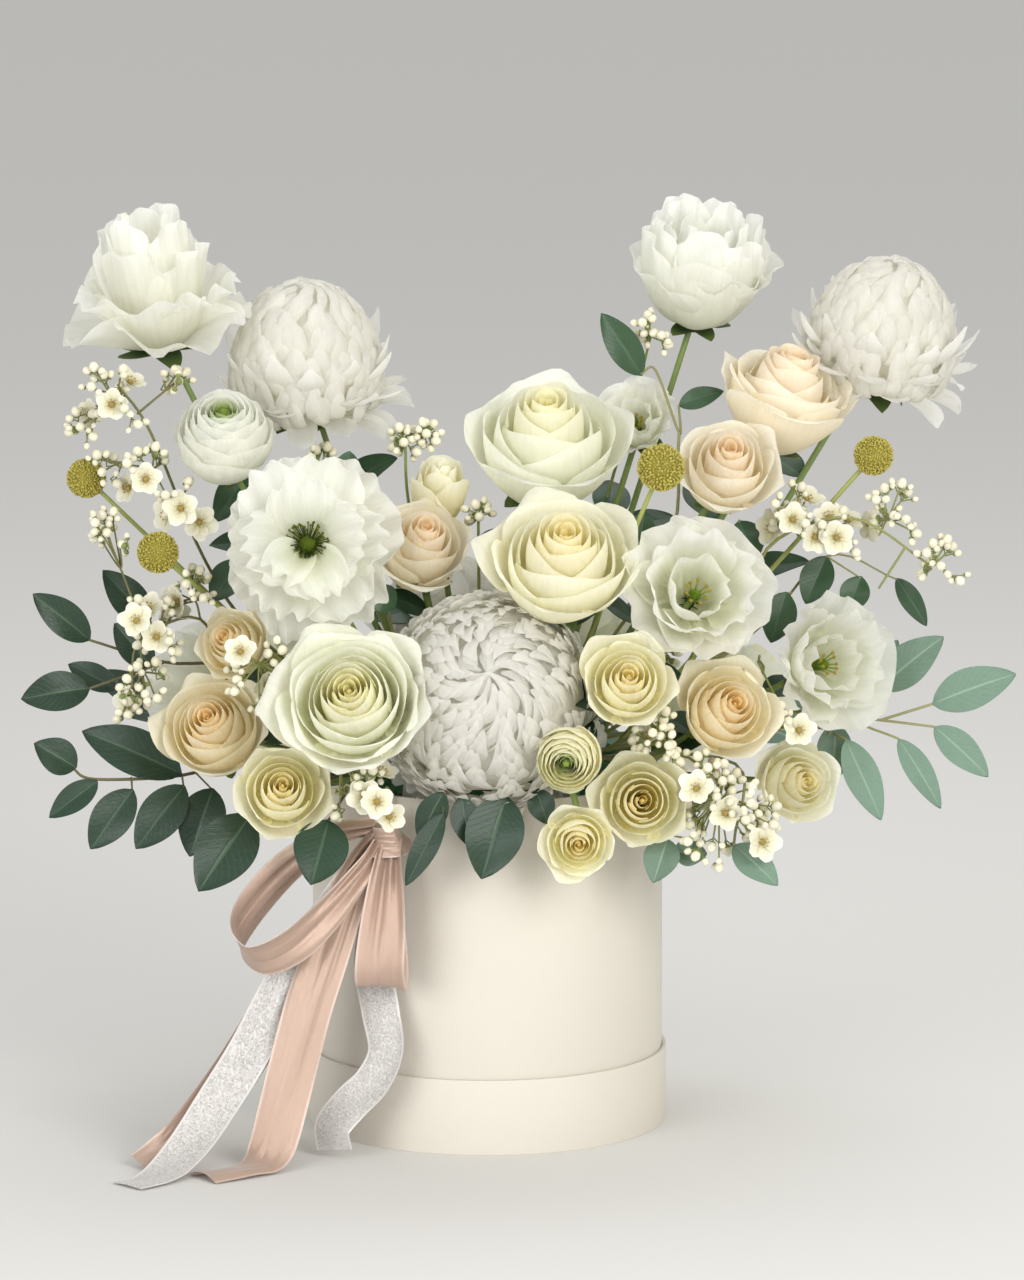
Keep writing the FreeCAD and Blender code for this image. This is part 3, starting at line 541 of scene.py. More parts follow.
def anemone(head, tone):
    """Open flower: three rings of wavy petals, two curled inner petals and a fringed green centre."""
    radius, depth = head.size
    number = 0
    for petals, reach, lift in ((7, 1.0, 0.10), (6, 0.90, 0.55), (4, 0.66, 0.95)):
        start = any_turn()
        for i in range(petals):
            out = radius * reach * rand(0.9, 1.06)
            wave = jitter(0.35) * depth
            controls = [(0.05 * radius, -0.42 * depth), (0.4 * out, (lift - 0.75) * depth),
                        (0.72 * out, (lift - 0.05) * depth + wave), (out, (lift + 0.05) * depth - wave)]
            head.petal(start + (i + jitter(0.13)) * TURN / petals, controls, width=out * (2.1 / petals + 0.14),
                       colours=heart_to_lip(tone), wrap=1.7, widest=0.74, base=0.2, tip=0.86, crown=0.20,
                       ruffle=0.075 * radius, fade=0.4, waves=rand(2.2, 4.4), phase=any_turn(),
                       sway=jitter(0.15), steps=(20, 14), number=number)
            number += 1
    for turn, reach in ((-1.15, 0.66), (-2.2, 0.5)):
        curled = [(0.06 * radius, -0.3 * depth), (0.20 * radius, 0.6 * depth),
                  (0.9 * reach * radius, 1.5 * depth), (reach * radius, 0.9 * depth)]
        head.petal(turn, curled, width=0.30 * radius, colours=heart_to_lip(tone), wrap=0.9, tip=0.8, crown=0.2,
                   ruffle=0.07 * radius, waves=2.6, phase=any_turn(), steps=(16, 14), number=number)
        number += 1
    floor = head.centre - head.out * 0.05 * depth
    head.middle(0.07, 0.11, 0.26, rgb(126, 148, 44), bumps=0.1)
    for i in range(70):
        head.stamen(floor, radius * rand(0.15, 0.25), i * GOLDEN, rand(0.22, 0.5) * depth,
                    0.08 * depth, (0.35 * MM, 4, rgb(104, 122, 40)),
                    (mm(0.9, 0.9, 0.8), 4, rgb(148, 158, 60)))
    calyx(head, 0.4)


def bud_rose(head, tone, petals=13):
    """Half-open bud: a tight upright spiral."""
    radius, depth = head.size
    for i in range(petals):
        t = i / (petals - 1)
        rim = radius * (0.14 + 0.80 * t)
        controls = [(0.1 * rim, -0.5 * depth), (rim * 1.15, -0.4 * depth), (rim * 1.05, 0.2 * depth),
                    (rim * (0.72 + 0.34 * t ** 2), depth * (0.5 - 0.16 * t ** 2))]
        head.petal(i * GOLDEN, controls, width=rim * (1.8 - 0.7 * t), colours=heart_to_lip(tone), widest=0.6,
                   base=0.34, tip=0.8, ruffle=0.03 * radius, phase=any_turn(), spiral=0.09,
                   roll=0.05 * radius * t, steps=(12, 10), number=i)
    calyx(head, 0.8)


def woolly_ball(head, florets=700):
    """Craspedia: a ball packed with tiny florets."""
    radius = head.cad_radius
    head.ball(0, [0.93 * radius] * 3, rgb(150, 140, 46), rows=10, sides=14)
    for i in range(florets):
        height = 1 - 2 * (i + 0.5) / florets
        level = math.sqrt(1 - height * height)
        direction = np.array([level * math.cos(i * GOLDEN), level * math.sin(i * GOLDEN), height])
        direction = unit(direction + RNG.normal(0, 0.05, 3)) @ head.axes
        tone = mix(rgb(176, 163, 66), rgb(208, 196, 98), rand(0, 1))
        wide = radius * rand(0.045, 0.062)
        add_ball(head.build, head.centre + direction * radius * rand(0.93, 0.99), upright(direction),
                 (wide, wide, 0.08 * radius), tone, 4, 5)


# ------------------------------------------------------------------ stems, leaves and sprays
def chains(rods):
    """Rods that meet end to end, joined into paths of (points, radii)."""
    left = [(rod.ends, rod.radii) for rod in rods]
    paths = []
    while left:
        points, radii = left.pop()
        k = 0
        while k < len(left):
            other, sizes = left[k]
            k += 1
            for step in (1, -1):
                ends, widths = other[::step], sizes[::step]
                if np.linalg.norm(points[-1] - ends[0]) < JOINT_GAP:
                    points, radii = points + ends[1:], radii + widths[1:]
                elif np.linalg.norm(points[0] - ends[-1]) < JOINT_GAP:
                    points, radii = ends[:-1] + points, widths[:-1] + radii
                else:
                    continue
                left.pop(k - 1)
                k = 0
                break
        paths.append((np.array(points), np.array(radii)))
    return paths


def smooth_path(points, steps=6):
    """Catmull-Rom curve through points."""
    padded = np.vstack([2 * points[0] - points[1], points, 2 * points[-1] - points[-2]])
    t = np.linspace(0, 1, steps, endpoint=False)[:, None]
    parts = []
    for a, b, c, d in zip(padded[:-3], padded[1:-2], padded[2:-1], padded[3:]):
        parts.append(0.5 * (2 * b + (c - a) * t + (2 * a - 5 * b + 4 * c - d) * t ** 2
                            + (3 * b - a - 3 * c + d) * t ** 3))
    return np.vstack(parts + [points[-1:]])


def add_stems(build, rods, tone, sides=8):
    for points, radii in chains(rods):
        path = smooth_path(points)
        size = np.interp(np.linspace(0, 1, len(path)), np.linspace(0, 1, len(radii)), radii)
        add_tube(build, path, size, vary(tone), sides)


def add_leaf(build, base, tip, half_width, normal, tone):
    """Pointed oval leaf with a fold along the midrib and a gentle curl."""
    length = np.linalg.norm(tip - base)
    along = (tip - base) / length
    normal = unit(normal - along * (normal @ along))
    v = np.linspace(0, 1, 17)[:, None]
    u = np.linspace(-1, 1, 11)[None, :]
    arch = rand(0.02, 0.07) * length
    fold = rand(0.12, 0.3)
    twist = jitter(0.25) * v
    side = u * (np.sin(math.pi * v ** 0.92) ** 0.72 * (1 - 0.10 * v) + 0.012) * half_width
    lift = arch * (np.sin(math.pi * v) - 0.9 * v ** 2) + fold * np.abs(side)
    lift = lift - 0.04 * half_width * np.sin(9 * v + 2 * u) * np.abs(u)
    grid = (base + v[..., None] * length * along + (side * np.cos(twist))[..., None] * np.cross(normal, along)
            + (lift + side * np.sin(twist))[..., None] * normal)
    tints = np.broadcast_to(vary(tone, 0.08), grid.shape)
    add_sheet(build, grid, LEAF_THICK, tints, surface(u, v, rand(0, 9)))


def leaves(node, tone, stem_tone, material, slot):
    """A leafy branch in place of its CAD plates and stalks."""
    rods, plates = pieces_of(node)
    joints = np.array([end for rod in rods for end in rod.ends])
    toward = np.array([0, 1 if "back" in node else -1, 0.5])
    build = Build()
    add_stems(build, rods, stem_tone)
    for plate in plates:
        if plate.kind == "leaf":
            gaps = [np.linalg.norm(joints - end, axis=1).min() for end in plate.ends]
            base, tip = plate.ends if gaps[0] <= gaps[1] else plate.ends[::-1]
            normal = plate.axes[2] if plate.axes[2] @ toward > 0 else -plate.axes[2]
            add_leaf(build, base, tip, plate.half[1], normal, tone)
    build.make(node + "_leaves", material, slot, node)


def stem_leaves(build, rods, tone):
    """Dark leaves up the flower stems, above the rim of the box."""
    for points, _ in chains(rods):
        path = points if points[0][2] < points[-1][2] else points[::-1]
        if np.linalg.norm(path[-1] - path[0]) < LEAFY_STEM:
            continue
        turn = rand(0, TURN)
        steps = np.arange(len(path))
        for k, share in enumerate((0.42, 0.58, 0.74, 0.86)):
            base = np.array([np.interp(share * steps[-1], steps, column) for column in path.T])
            if base[2] < LEAFY_FROM:
                continue
            angle = turn + 2.4 * k
            aim = unit([math.cos(angle), math.sin(angle), rand(0.1, 0.7)])
            length = rand(30, 44) * MM
            add_leaf(build, base, base + aim * length, 0.30 * length, np.array([0, -0.6, 0.8]), tone)


def blossom(build, piece, rods):
    """Waxflower: five round petals, a cup with a dark eye and short stamens."""
    head = Head(build, piece, rods)
    radius = max(piece.half[0], 8 * MM) * rand(0.95, 1.1)
    start = any_turn()
    for i in range(5):
        reach = radius * rand(0.9, 1.05)
        tilt = jitter(1.2 * MM)
        controls = [(1.2 * MM, -2.6 * MM), (0.35 * reach, -1.6 * MM), (0.75 * reach, 0.2 * MM + tilt),
                    (reach, 1.6 * MM + tilt)]
        head.petal(start + i * TURN / 5 + jitter(0.08), controls, width=0.50 * radius,
                   colours=(rgb(226, 222, 186), vary(rgb(244, 242, 230))), wrap=1.6, base=0.35, tip=0.8,
                   ruffle=0.03 * radius, steps=(6, 6), number=i)
    head.ball(-1.6 * MM, mm(2.0, 2.0, 1.8), rgb(168, 146, 76), rows=6, sides=8)
    for i in range(7):
        spot = head.centre + (polar(head.axes, i * TURN / 7) * 2.6 + head.out * 0.6) * MM
        add_ball(build, spot, head.axes, mm(0.6, 0.6, 0.7), rgb(196, 172, 108), 4, 5)


def closed_bud(build, twigs, piece, rods):
    """Oval white buds in green calyxes: the CAD bud and two smaller ones on the same twig."""
    head = Head(build, piece, rods)
    fork = head.centre - head.out * 6.5 * MM
    start = any_turn()
    spots = [(head.centre, head.out, 1.0)]
    for k in range(2):
        lean = unit(head.out + 1.1 * polar(head.axes, start + k * 2.6))
        spots.append((fork + lean * rand(6.0, 9.0) * MM, lean, rand(0.6, 0.85)))
    for centre, lean, size in spots:
        wide, tall = 2.8 * MM * size, 3.4 * MM * size
        basis = upright(lean)
        add_ball(build, centre, basis, (wide, wide, tall), vary(rgb(245, 240, 216), 0.03), 7, 9)
        add_ball(build, centre - lean * 2.0 * MM * size, basis, (0.8 * wide, 0.8 * wide, 0.62 * tall),
                 vary(rgb(140, 152, 92), 0.05), 5, 8)
        if size < 1:
            twig = [fork, (fork + centre) / 2 + head.out * 0.4 * MM, centre - lean * 2 * MM]
            add_tube(twigs, twig, [0.4 * MM] * 3, rgb(122, 128, 76), 5)


def spray(node, stem_tone):
    """A twig of waxflowers and buds."""
    rods, tips_here = pieces_of(node)
    twigs, tips = Build(), Build()
    add_stems(twigs, rods, stem_tone, sides=6)
    for piece in tips_here:
        if piece.kind == "blossom":
            blossom(tips, piece, rods)
        elif piece.kind == "bud":
            closed_bud(tips, twigs, piece, rods)
    twigs.make(node + "_twigs", STEM, "leaf_blue_green", node)
    tips.make(node + "_tips", WAXY, "waxflower", node)


# ------------------------------------------------------------------ ribbons
def ribbon(name, node, weave, width, cup, gather, stations):
    """Ribbon through stations: a point in mm, then the direction of its width at any length.

    cup bows it across its width; gather narrows its two ends into lengthwise folds, as a knot does.
    """
    stations = np.array(stations, float)
    path = smooth_path(stations[:, :3] * MM, 8)
    across = smooth_path(unit(stations[:, 3:]), 8)
    tangent = unit(np.gradient(path, axis=0))
    across = unit(across - tangent * (across * tangent).sum(axis=1, keepdims=True))
    normal = np.cross(across, tangent)
    length = np.linalg.norm(np.diff(path, axis=0), axis=1).sum()
    half = width / 2 * MM
    u = np.linspace(-1, 1, 25)[None, :, None]
    share = np.linspace(0, 1, len(path))[:, None, None]
    start, end = (1 - g for g in gather)
    pinch = 1 - start * np.exp(-(share / 0.2) ** 2) - end * np.exp(-((1 - share) / 0.2) ** 2)
    folds = np.sqrt(np.clip(1 - pinch ** 2, 0, 1)) * 0.18 * half * np.cos(7.5 * u + 1.2 + 1.5 * share)
    bow = cup * half * (1 - u ** 2) + folds + 0.06 * half * np.sin(11 * share + 2.5 * u)
    grid = path[:, None, :] + across[:, None, :] * u * half * pinch + normal[:, None, :] * bow
    grid[..., 2] = np.maximum(grid[..., 2], 0.8 * RIBBON_THICK)
    material, slot, tone = weave
    build = Build()
    coords = surface(u[..., 0], share[..., 0] * length / (width * MM), 0.0)
    add_sheet(build, grid, RIBBON_THICK, np.broadcast_to(tone, grid.shape), coords)
    obj = build.make(name, material, slot, node)


# ------------------------------------------------------------------ materials
class Look:
    """A node material and the steps that it is made from."""

    def __init__(self, name):
        self.material = bpy.data.materials.new(name)
        self.material.use_nodes = True
        self.tree = self.material.node_tree
        self.shader = self.tree.nodes["Principled BSDF"]

    def put(self, node, inputs):
        """Sets or links inputs given by index or by name, with _ for a space."""
        for key, value in inputs.items():
            socket = node.inputs[key.replace("_", " ") if isinstance(key, str) else key]
            if isinstance(value, bpy.types.NodeSocket):
                self.tree.links.new(value, socket)
            elif value is not None:
                socket.default_value = (*value, 1) if isinstance(value, list) else value

    def add(self, kind, settings=None, **inputs):
        node = self.tree.nodes.new("ShaderNode" + kind)
        for key, value in (settings or {}).items():
            setattr(node, key, value)
        self.put(node, inputs)
        return node

    def math(self, operation, first, second=0.0):
        node = self.add("Math", {"operation": operation})
        self.put(node, {0: first, 1: second})
        return node.outputs[0]

    def times(self, first, second):
        return self.math("MULTIPLY", first, second)

    def mix(self, share, first, second, blend="MIX"):
        node = self.add("Mix", {"data_type": "RGBA", "blend_type": blend})
        self.put(node, {0: share, 6: first, 7: second})
        return node.outputs[2]

    def ramp(self, value, low, high, start=0.0, end=1.0, kind="LINEAR"):
        return self.add("MapRange", {"interpolation_type": kind}, Value=value, From_Min=low, From_Max=high,
                        To_Min=start, To_Max=end).outputs[0]

    def noise(self, scale, detail, where=None, distortion=0.0):
        return self.add("TexNoise", None, Vector=where, Scale=scale, Detail=detail,
                        Distortion=distortion).outputs[0]

    def vector(self, x, y, z=0.0):
        return self.add("CombineXYZ", None, X=x, Y=y, Z=z).outputs[0]

    def split(self, vector):
        return tuple(self.add("SeparateXYZ", None, Vector=vector).outputs)

    def tint(self):
        return self.add("Attribute", {"attribute_name": "tint"}).outputs["Color"]

    def place(self):
        return self.split(self.add("Attribute", {"attribute_name": "place"}).outputs["Vector"])

    def edge(self, u, low, high):
        return self.ramp(self.math("ABSOLUTE", u), low, high, kind="SMOOTHSTEP")

    def thin(self, colour, share):
        """Lets part of the light through, as petals and leaves do."""
        glow = self.add("BsdfTranslucent", None, Color=colour)
        blend = self.add("MixShader", None, Fac=share)
        self.put(blend, {1: self.shader.outputs[0], 2: glow.outputs[0]})
        self.put(self.tree.nodes["Material Output"], {0: blend.outputs[0]})

    def finish(self, colour, roughness, height, strength, distance, **inputs):
        """The surface itself, with height as its fine relief."""
        relief = self.add("Bump", None, Strength=strength, Distance=distance, Height=height).outputs[0]
        self.put(self.shader, dict(Base_Color=colour, Roughness=roughness, Normal=relief, **inputs))
        return self.material


def petal_look(name, glow, veins=0.06):
    """Petal with faint veins that fan out, and light shining through."""
    n = Look(name)
    u, v, number = n.place()
    streak = n.noise(1.6, 3.0, n.vector(n.times(u, 9.0), n.times(v, 1.3), number))
    cloud = n.ramp(n.noise(90.0, 2.0), 0.3, 0.7, 0.97, 1.0)
    shade = n.times(n.ramp(streak, 0.35, 0.7, 1 - veins, 1.0), cloud)
    colour = n.mix(1.0, n.tint(), n.vector(shade, shade, shade), "MULTIPLY")
    n.thin(colour, glow)
    return n.finish(colour, 0.55, streak, 0.35, 0.6 * MM, Specular_IOR_Level=0.3, Sheen_Weight=0.15)


def leaf_look(name, pale, rough):
    """Leaf with a pale midrib, slanting side veins and soft pale patches."""
    n = Look(name)
    u, v, _ = n.place()
    side = n.math("ABSOLUTE", u)
    rib = n.ramp(side, 0.02, 0.09, 1.0, 0.0, "SMOOTHSTEP")
    slant = n.math("SUBTRACT", n.times(v, 11.0), n.times(side, 3.2))
    wave = n.math("ABSOLUTE", n.math("SUBTRACT", n.math("FRACT", slant), 0.5))
    line = n.math("MAXIMUM", rib, n.ramp(wave, 0.0, 0.09, 0.35, 0.0, "SMOOTHSTEP"))
    patch = n.noise(45.0, 4.0)
    mottled = n.mix(n.times(patch, 0.16), n.tint(), pale)
    colour = n.mix(n.times(line, 0.42), mottled, pale)
    n.thin(colour, 0.12)
    return n.finish(colour, rough, n.math("SUBTRACT", patch, line), 0.3, 0.6 * MM, Specular_IOR_Level=0.4)


def stem_look():
    n = Look("stem_skin")
    noise = n.noise(160.0, 3.0)
    return n.finish(n.mix(n.times(noise, 0.4), n.tint(), rgb(150, 160, 92)), 0.6, noise, 0.3, 0.4 * MM)


def paper_look(name):
    """Matt cover paper: fine linen grain over a barely uneven board."""
    n = Look(name)
    where = n.add("TexCoord").outputs["Object"]
    x, y, z = n.split(where)
    around = n.vector(n.times(n.math("ARCTAN2", x, y), 0.1), z, n.times(y, 0.2))
    threads = [n.noise(1.0, 2.0, n.add("Mapping", None, Vector=around, Scale=scale).outputs[0])
               for scale in ((240, 1800, 30), (1800, 240, 30))]
    grain = n.math("ADD", *threads)
    share = n.times(n.math("ADD", n.times(grain, 0.25), n.noise(14.0, 4.0, where)), 0.45)
    return n.finish(n.mix(share, rgb(212, 207, 197), rgb(202, 195, 182)), 0.72, grain, 0.25, 0.3 * MM,
                    Specular_IOR_Level=0.3)


def satin_look():
    """Weft-faced satin: long floats across the ribbon, sheen, paler woven edges."""
    n = Look("satin_weave")
    u, v, number = n.place()
    floats = n.noise(2.2, 3.0, n.vector(n.times(u, 4.0), n.times(v, 60.0)))
    crease = n.noise(1.1, 1.0, n.vector(n.times(u, 2.2), n.times(v, 0.35), number), 0.4)
    body = n.mix(n.times(floats, 0.5), rgb(194, 165, 147), rgb(210, 184, 167))
    colour = n.mix(n.times(n.edge(u, 0.86, 0.97), 0.6), body, rgb(236, 218, 206))
    n.thin(body, 0.12)
    return n.finish(colour, 0.36, n.math("ADD", floats, n.times(crease, 9.0)), 0.5, 0.5 * MM, Metallic=0.35,
                    Specular_IOR_Level=0.7, Sheen_Weight=0.3, Anisotropic=0.6)


def sheer_look():
    """Sheer ribbon: silvery fibres with gaps between them and solid edges."""
    n = Look("sheer_fibres")
    u, v, _ = n.place()
    spot = n.vector(n.times(u, 1.5), n.times(v, 3.0))
    cells = n.add("TexVoronoi", {"feature": "DISTANCE_TO_EDGE"}, Vector=spot, Scale=3.4).outputs[0]
    wisps = n.ramp(n.noise(2.4, 6.0, spot, 3.0), 0.40, 0.62)
    cover = n.math("MAXIMUM", n.math("MAXIMUM", n.ramp(cells, 0.0, 0.07, 0.8, 0.0), wisps),
                   n.edge(u, 0.84, 0.93))
    return n.finish(n.mix(cover, rgb(186, 183, 180), rgb(214, 211, 208)), 0.35, cover, 0.3, 0.5 * MM,
                    Alpha=n.ramp(cover, 0.0, 1.0, 0.7, 0.92), Metallic=0.15, Sheen_Weight=0.4)


def film_look():
    n = Look("liner_film")
    noise = n.noise(60.0, 3.0)
    return n.finish(n.mix(noise, rgb(184, 192, 186), rgb(200, 206, 200)), 0.22, noise, 0.2, 1 * MM)


def foam_look():
    n = Look("wet_foam")
    cells = n.add("TexVoronoi", None, Scale=900.0).outputs[0]
    share = n.times(cells, n.noise(40.0, 5.0))
    return n.finish(n.mix(share, rgb(34, 84, 50), rgb(70, 128, 84)), 0.85, cells, 0.6, 0.6 * MM)


# ------------------------------------------------------------------ what stands where
PETALS = {"white": petal_look("petal_white_skin", 0.68), "cream": petal_look("petal_cream_skin", 0.5),
          "yellow": petal_look("petal_yellow_skin", 0.5), "peach": petal_look("petal_peach_skin", 0.5)}
WAXY = petal_look("waxflower_skin", 0.15, 0.03)
WOOL = petal_look("craspedia_wool", 0.05, 0.15)
STEM = stem_look()
LEAF_DARK = leaf_look("leaf_dark", rgb(92, 120, 92), 0.36)
LEAF_BLUE = leaf_look("leaf_blue_green", rgb(176, 196, 178), 0.55)

# Lisianthus and peony rings: petals, rim, height and flare, from the inside out; then the ruffle.
CUPS = {
    "open_cup": ([(3, 0.44, 0.34, 0.0), (4, 0.74, 0.44, 0.4), (5, 1.0, 0.28, 0.95)], 0.12),
    "tall_cup": ([(3, 0.30, 0.66, -0.3), (4, 0.46, 0.62, -0.1), (4, 0.62, 0.42, 0.3), (5, 0.90, 0.08, 1.0),
                  (4, 1.04, -0.26, 1.3)], 0.12),
    "round_cup": ([(4, 0.40, 0.50, -0.5), (5, 0.62, 0.54, -0.5), (6, 0.82, 0.50, -0.35),
                   (6, 0.96, 0.36, -0.1), (5, 1.04, 0.12, 0.7)], 0.08),
}

# One row per front flower: node, kind, width and depth of the open head in mm, tone, petal slot.
FLOWERS = [
    ("lisianthus_top_left", "tall_cup", 92, 72, GREENISH, "white"),
    ("mum_top_left", "peony_mum", 112, 84, PURE, "white"),
    ("ranunculus_upper_left", "ranunculus", 61, 50, WHITE, "white"),
    ("anemone_left", "anemone", 104, 30, WHITE, "white"),
    ("rose_peach_centre", "rose", 57, 50, BLUSH, "peach"),
    ("rosebud_cream", "bud", 36, 42, CREAM, "cream"),
    ("rose_large_upper", "rose", 94, 72, IVORY, "cream"),
    ("rose_large_middle", "rose", 88, 64, CREAM, "cream"),
    ("lisianthus_small", "open_cup", 42, 38, GREENISH, "white"),
    ("peony_top_right", "round_cup", 74, 66, WHITE, "white"),
    ("mum_top_right", "peony_mum", 110, 80, PURE, "white"),
    ("rose_cream_upper_right", "ruffled_rose", 78, 62, BLUSH, "cream"),
    ("rose_peach_right", "rose", 60, 52, BLUSH, "peach"),
    ("lisianthus_right", "open_cup", 76, 46, GREENISH, "white"),
    ("lisianthus_far_right", "open_cup", 70, 46, GREENISH, "white"),
    ("mum_football", "football", 122, 90, PURE, "white"),
    ("rose_ruffled_left", "ruffled_rose", 84, 60, IVORY, "cream"),
    ("rose_peach_left", "rose", 62, 52, PEACH, "peach"),
    ("rosebud_peach_left", "rose", 42, 38, PEACH, "peach"),
    ("rose_yellow_low_left", "rose", 54, 44, YELLOW, "yellow"),
    ("rose_yellow_right", "rose", 53, 44, YELLOW, "yellow"),
    ("ranunculus_yellow", "ranunculus", 40, 34, YELLOW, "yellow"),
    ("rose_yellow_low_right", "rose", 53, 44, YELLOW, "yellow"),
    ("rose_rim", "rose", 42, 30, YELLOW, "yellow"),
    ("rose_peach_low_right", "rose", 58, 48, PEACH, "peach"),
    ("rose_cream_low_right", "rose", 48, 42, CREAM, "cream"),
]


def grow(kind, head, tone):
    """One flower head of the given kind."""
    large = head.size[0] > LARGE_ROSE
    if kind == "rose":
        head.lift(0.42 if large else 0.22)
        rose(head, tone, petals=22 if large else 18)
    elif kind == "ruffled_rose":
        head.lift(0.22)
        rose(head, tone, petals=27, flared=11, lips=0.8, ruffle=0.07)
    elif kind == "peony_mum":
        head.lift(0.85)
        dome(head, tone, petals=290, petal_width=0.100, curl=0.1, hook=0.1, lower=102, guards=42, ball=0.81,
             crown=0.14, cup=1.2)
    elif kind == "football":
        dome(head, tone, petals=820, petal_width=0.076, curl=0.12, hook=0.04, lower=122, skirt=1.3, lift=0.06,
             tangle=0.16)
    elif kind in ("ranunculus", "anemone", "bud"):
        {"ranunculus": ranunculus, "anemone": anemone, "bud": bud_rose}[kind](head, tone)
    else:
        ruffled_cup(head, tone, *CUPS[kind], eye=kind == "open_cup")
        if kind == "open_cup":
            green_eye(head)


def plant(node, kind, tone, colour, size=None):
    """All the heads, stems and stem leaves of one flower node."""
    rods, heads = pieces_of(node)
    petals, stems, foliage = Build(), Build(), Build()
    for piece in heads:
        grow(kind, Head(petals, piece, rods, size), tone)
    add_stems(stems, rods, rgb(104, 128, 66))
    petals.make(node + "_petals", PETALS[colour], "petal_" + colour, node)
    stems.make(node + "_stem", STEM, "leaf_blue_green", node)
    stem_leaves(foliage, rods, rgb(46, 76, 50))
    if foliage.count:
        foliage.make(node + "_foliage", LEAF_DARK, "leaf_dark_green", node)


for node, kind, width, depth, tone, colour in FLOWERS:
    plant(node, kind, tone, colour, (width / 2 * MM, depth * MM))
plant("roses_back", "rose", IVORY, "cream")
plant("mums_back", "peony_mum", PURE, "white")
plant("lisianthus_back", "open_cup", GREENISH, "white")
plant("ranunculus_back", "ranunculus", YELLOW, "yellow")

ball_rods, balls = pieces_of("craspedia")
wool, wool_stems = Build(), Build()
for piece in balls:
    woolly_ball(Head(wool, piece, ball_rods))
add_stems(wool_stems, ball_rods, rgb(150, 156, 84))
wool.make("craspedia_balls", WOOL, "craspedia", "craspedia")
wool_stems.make("craspedia_stems", STEM, "leaf_blue_green", "craspedia")

DARK_STEM, PALE_STEM = rgb(104, 96, 62), rgb(150, 146, 96)
for node in ("eucalyptus_left_upper", "eucalyptus_left_lower", "collar_leaves_front", "eucalyptus_back_left"):
    leaves(node, rgb(34, 56, 42), DARK_STEM, LEAF_DARK, "leaf_dark_green")
leaves("foliage_inner", rgb(52, 82, 54), PALE_STEM, LEAF_DARK, "leaf_dark_green")
for node in ("eucalyptus_right_upper", "eucalyptus_right_lower", "eucalyptus_back_right"):
    leaves(node, rgb(106, 134, 116), PALE_STEM, LEAF_BLUE, "leaf_blue_green")
for node in ("left", "left_low", "centre", "right", "right_dense", "back"):
    spray("waxflower_" + node, rgb(96, 88, 52) if "left" in node else rgb(128, 130, 76))
spray("bud_sprigs", rgb(118, 132, 70))

# ------------------------------------------------------------------ bow
SATIN = (satin_look(), "satin_ribbon", rgb(226, 184, 166))
SHEER = (sheer_look(), "sheer_ribbon", rgb(226, 222, 218))
ribbon("loop_left_satin", "bow_loop_left", SATIN, 27, 0.16, (0.45, 0.45), [
    (-62, -105, 190, -35, -55, 75), (-85, -105, 184, -38, -57, 70),
    (-112, -107, 166, -38, -57, 65), (-134, -114, 142, -30, -57, 65),
    (-140, -126, 127, -20, -60, 70), (-128, -136, 119, -38, -57, 65),
    (-108, -139, 128, -45, -50, 65), (-88, -133, 146, -50, -40, 65),
    (-70, -122, 166, -55, -35, 62), (-60, -113, 180, -55, -35, 62)])
ribbon("loop_right_satin", "bow_loop_right", SATIN, 28, 0.2, (0.45, 0.5), [
    (-54, -112, 184, 100, 0, 0), (-56, -120, 165, 100, 0, 0), (-58, -123, 138, 100, 0, 5),
    (-60, -124, 112, 100, 0, 10), (-59, -118, 99, 100, 0, -15), (-58, -108, 100, 100, 0, -15),
    (-57, -105, 115, 100, 0, -10), (-56, -104, 140, 100, 0, 0), (-55, -104, 176, 100, 0, 0)])
ribbon("tail_front_satin", "satin_tail_front", SATIN, 27, -0.14, (0.5, 1.0), [
    (-60, -108, 184, 94, 0, -34), (-71, -112, 168, 94, 0, -34), (-79, -114, 149, 94, 0, -34),
    (-90, -118, 118, 94, 0, -30), (-99, -122, 92, 95, 0, -28), (-107, -126, 62, 96, 0, -24),
    (-114, -130, 34, 96, -10, -20), (-120, -134, 12, 94, -30, -10),
    (-127, -140, 3, 85, -50, -3), (-141, -150, 1.6, 72, -70, 0), (-158, -162, 1.6, 66, -75, 0)])
ribbon("tail_back_satin", "satin_tail_back", SATIN, 26, 0.1, (0.6, 1.0), [
    (-60, -104, 180, 88, 0, -46), (-70, -106, 164, 88, 0, -46), (-84, -106, 142, 88, 0, -48),
    (-105, -108, 109, 88, 0, -50), (-125, -112, 76, 86, 0, -52), (-144, -118, 47, 84, 0, -55),
    (-165, -126, 20, 80, 0, -60), (-178, -132, 8, 84, -10, -50), (-192, -140, 3, 90, -50, -20)])
ribbon("tail_long_sheer", "sheer_tail_long", SHEER, 24, 0.08, (0.6, 1.0), [
    (-60, -107, 182, 90, 0, -42), (-70, -109.5, 168, 90, 0, -42), (-88, -110, 140, 90, 0, -45),
    (-110, -114, 107, 88, 0, -48), (-132, -122, 66, 86, -10, -48),
    (-150, -131, 38, 84, -20, -45), (-164, -141, 18, 84, -40, -35),
    (-176, -154, 6, 85, -50, -20), (-186, -167, 2, 85, -53, -3), (-199, -180, 2, 80, -60, 0)])
ribbon("tail_short_sheer", "sheer_tail_short", SHEER, 22, 0.08, (0.6, 1.0), [
    (-56, -99, 178, 100, 0, 0), (-56, -97, 168, 100, 0, 0), (-60, -96, 140, 100, 0, 0),
    (-64, -96, 110, 100, 0, 10),
    (-60, -98, 82, 95, -20, 10), (-57, -104, 61, 80, -50, -15), (-64, -107, 44, 75, -50, -40),
    (-77, -109, 31, 75, -40, -55), (-87, -110, 18, 90, -40, -20), (-86, -110, 5, 90, -40, 0)])
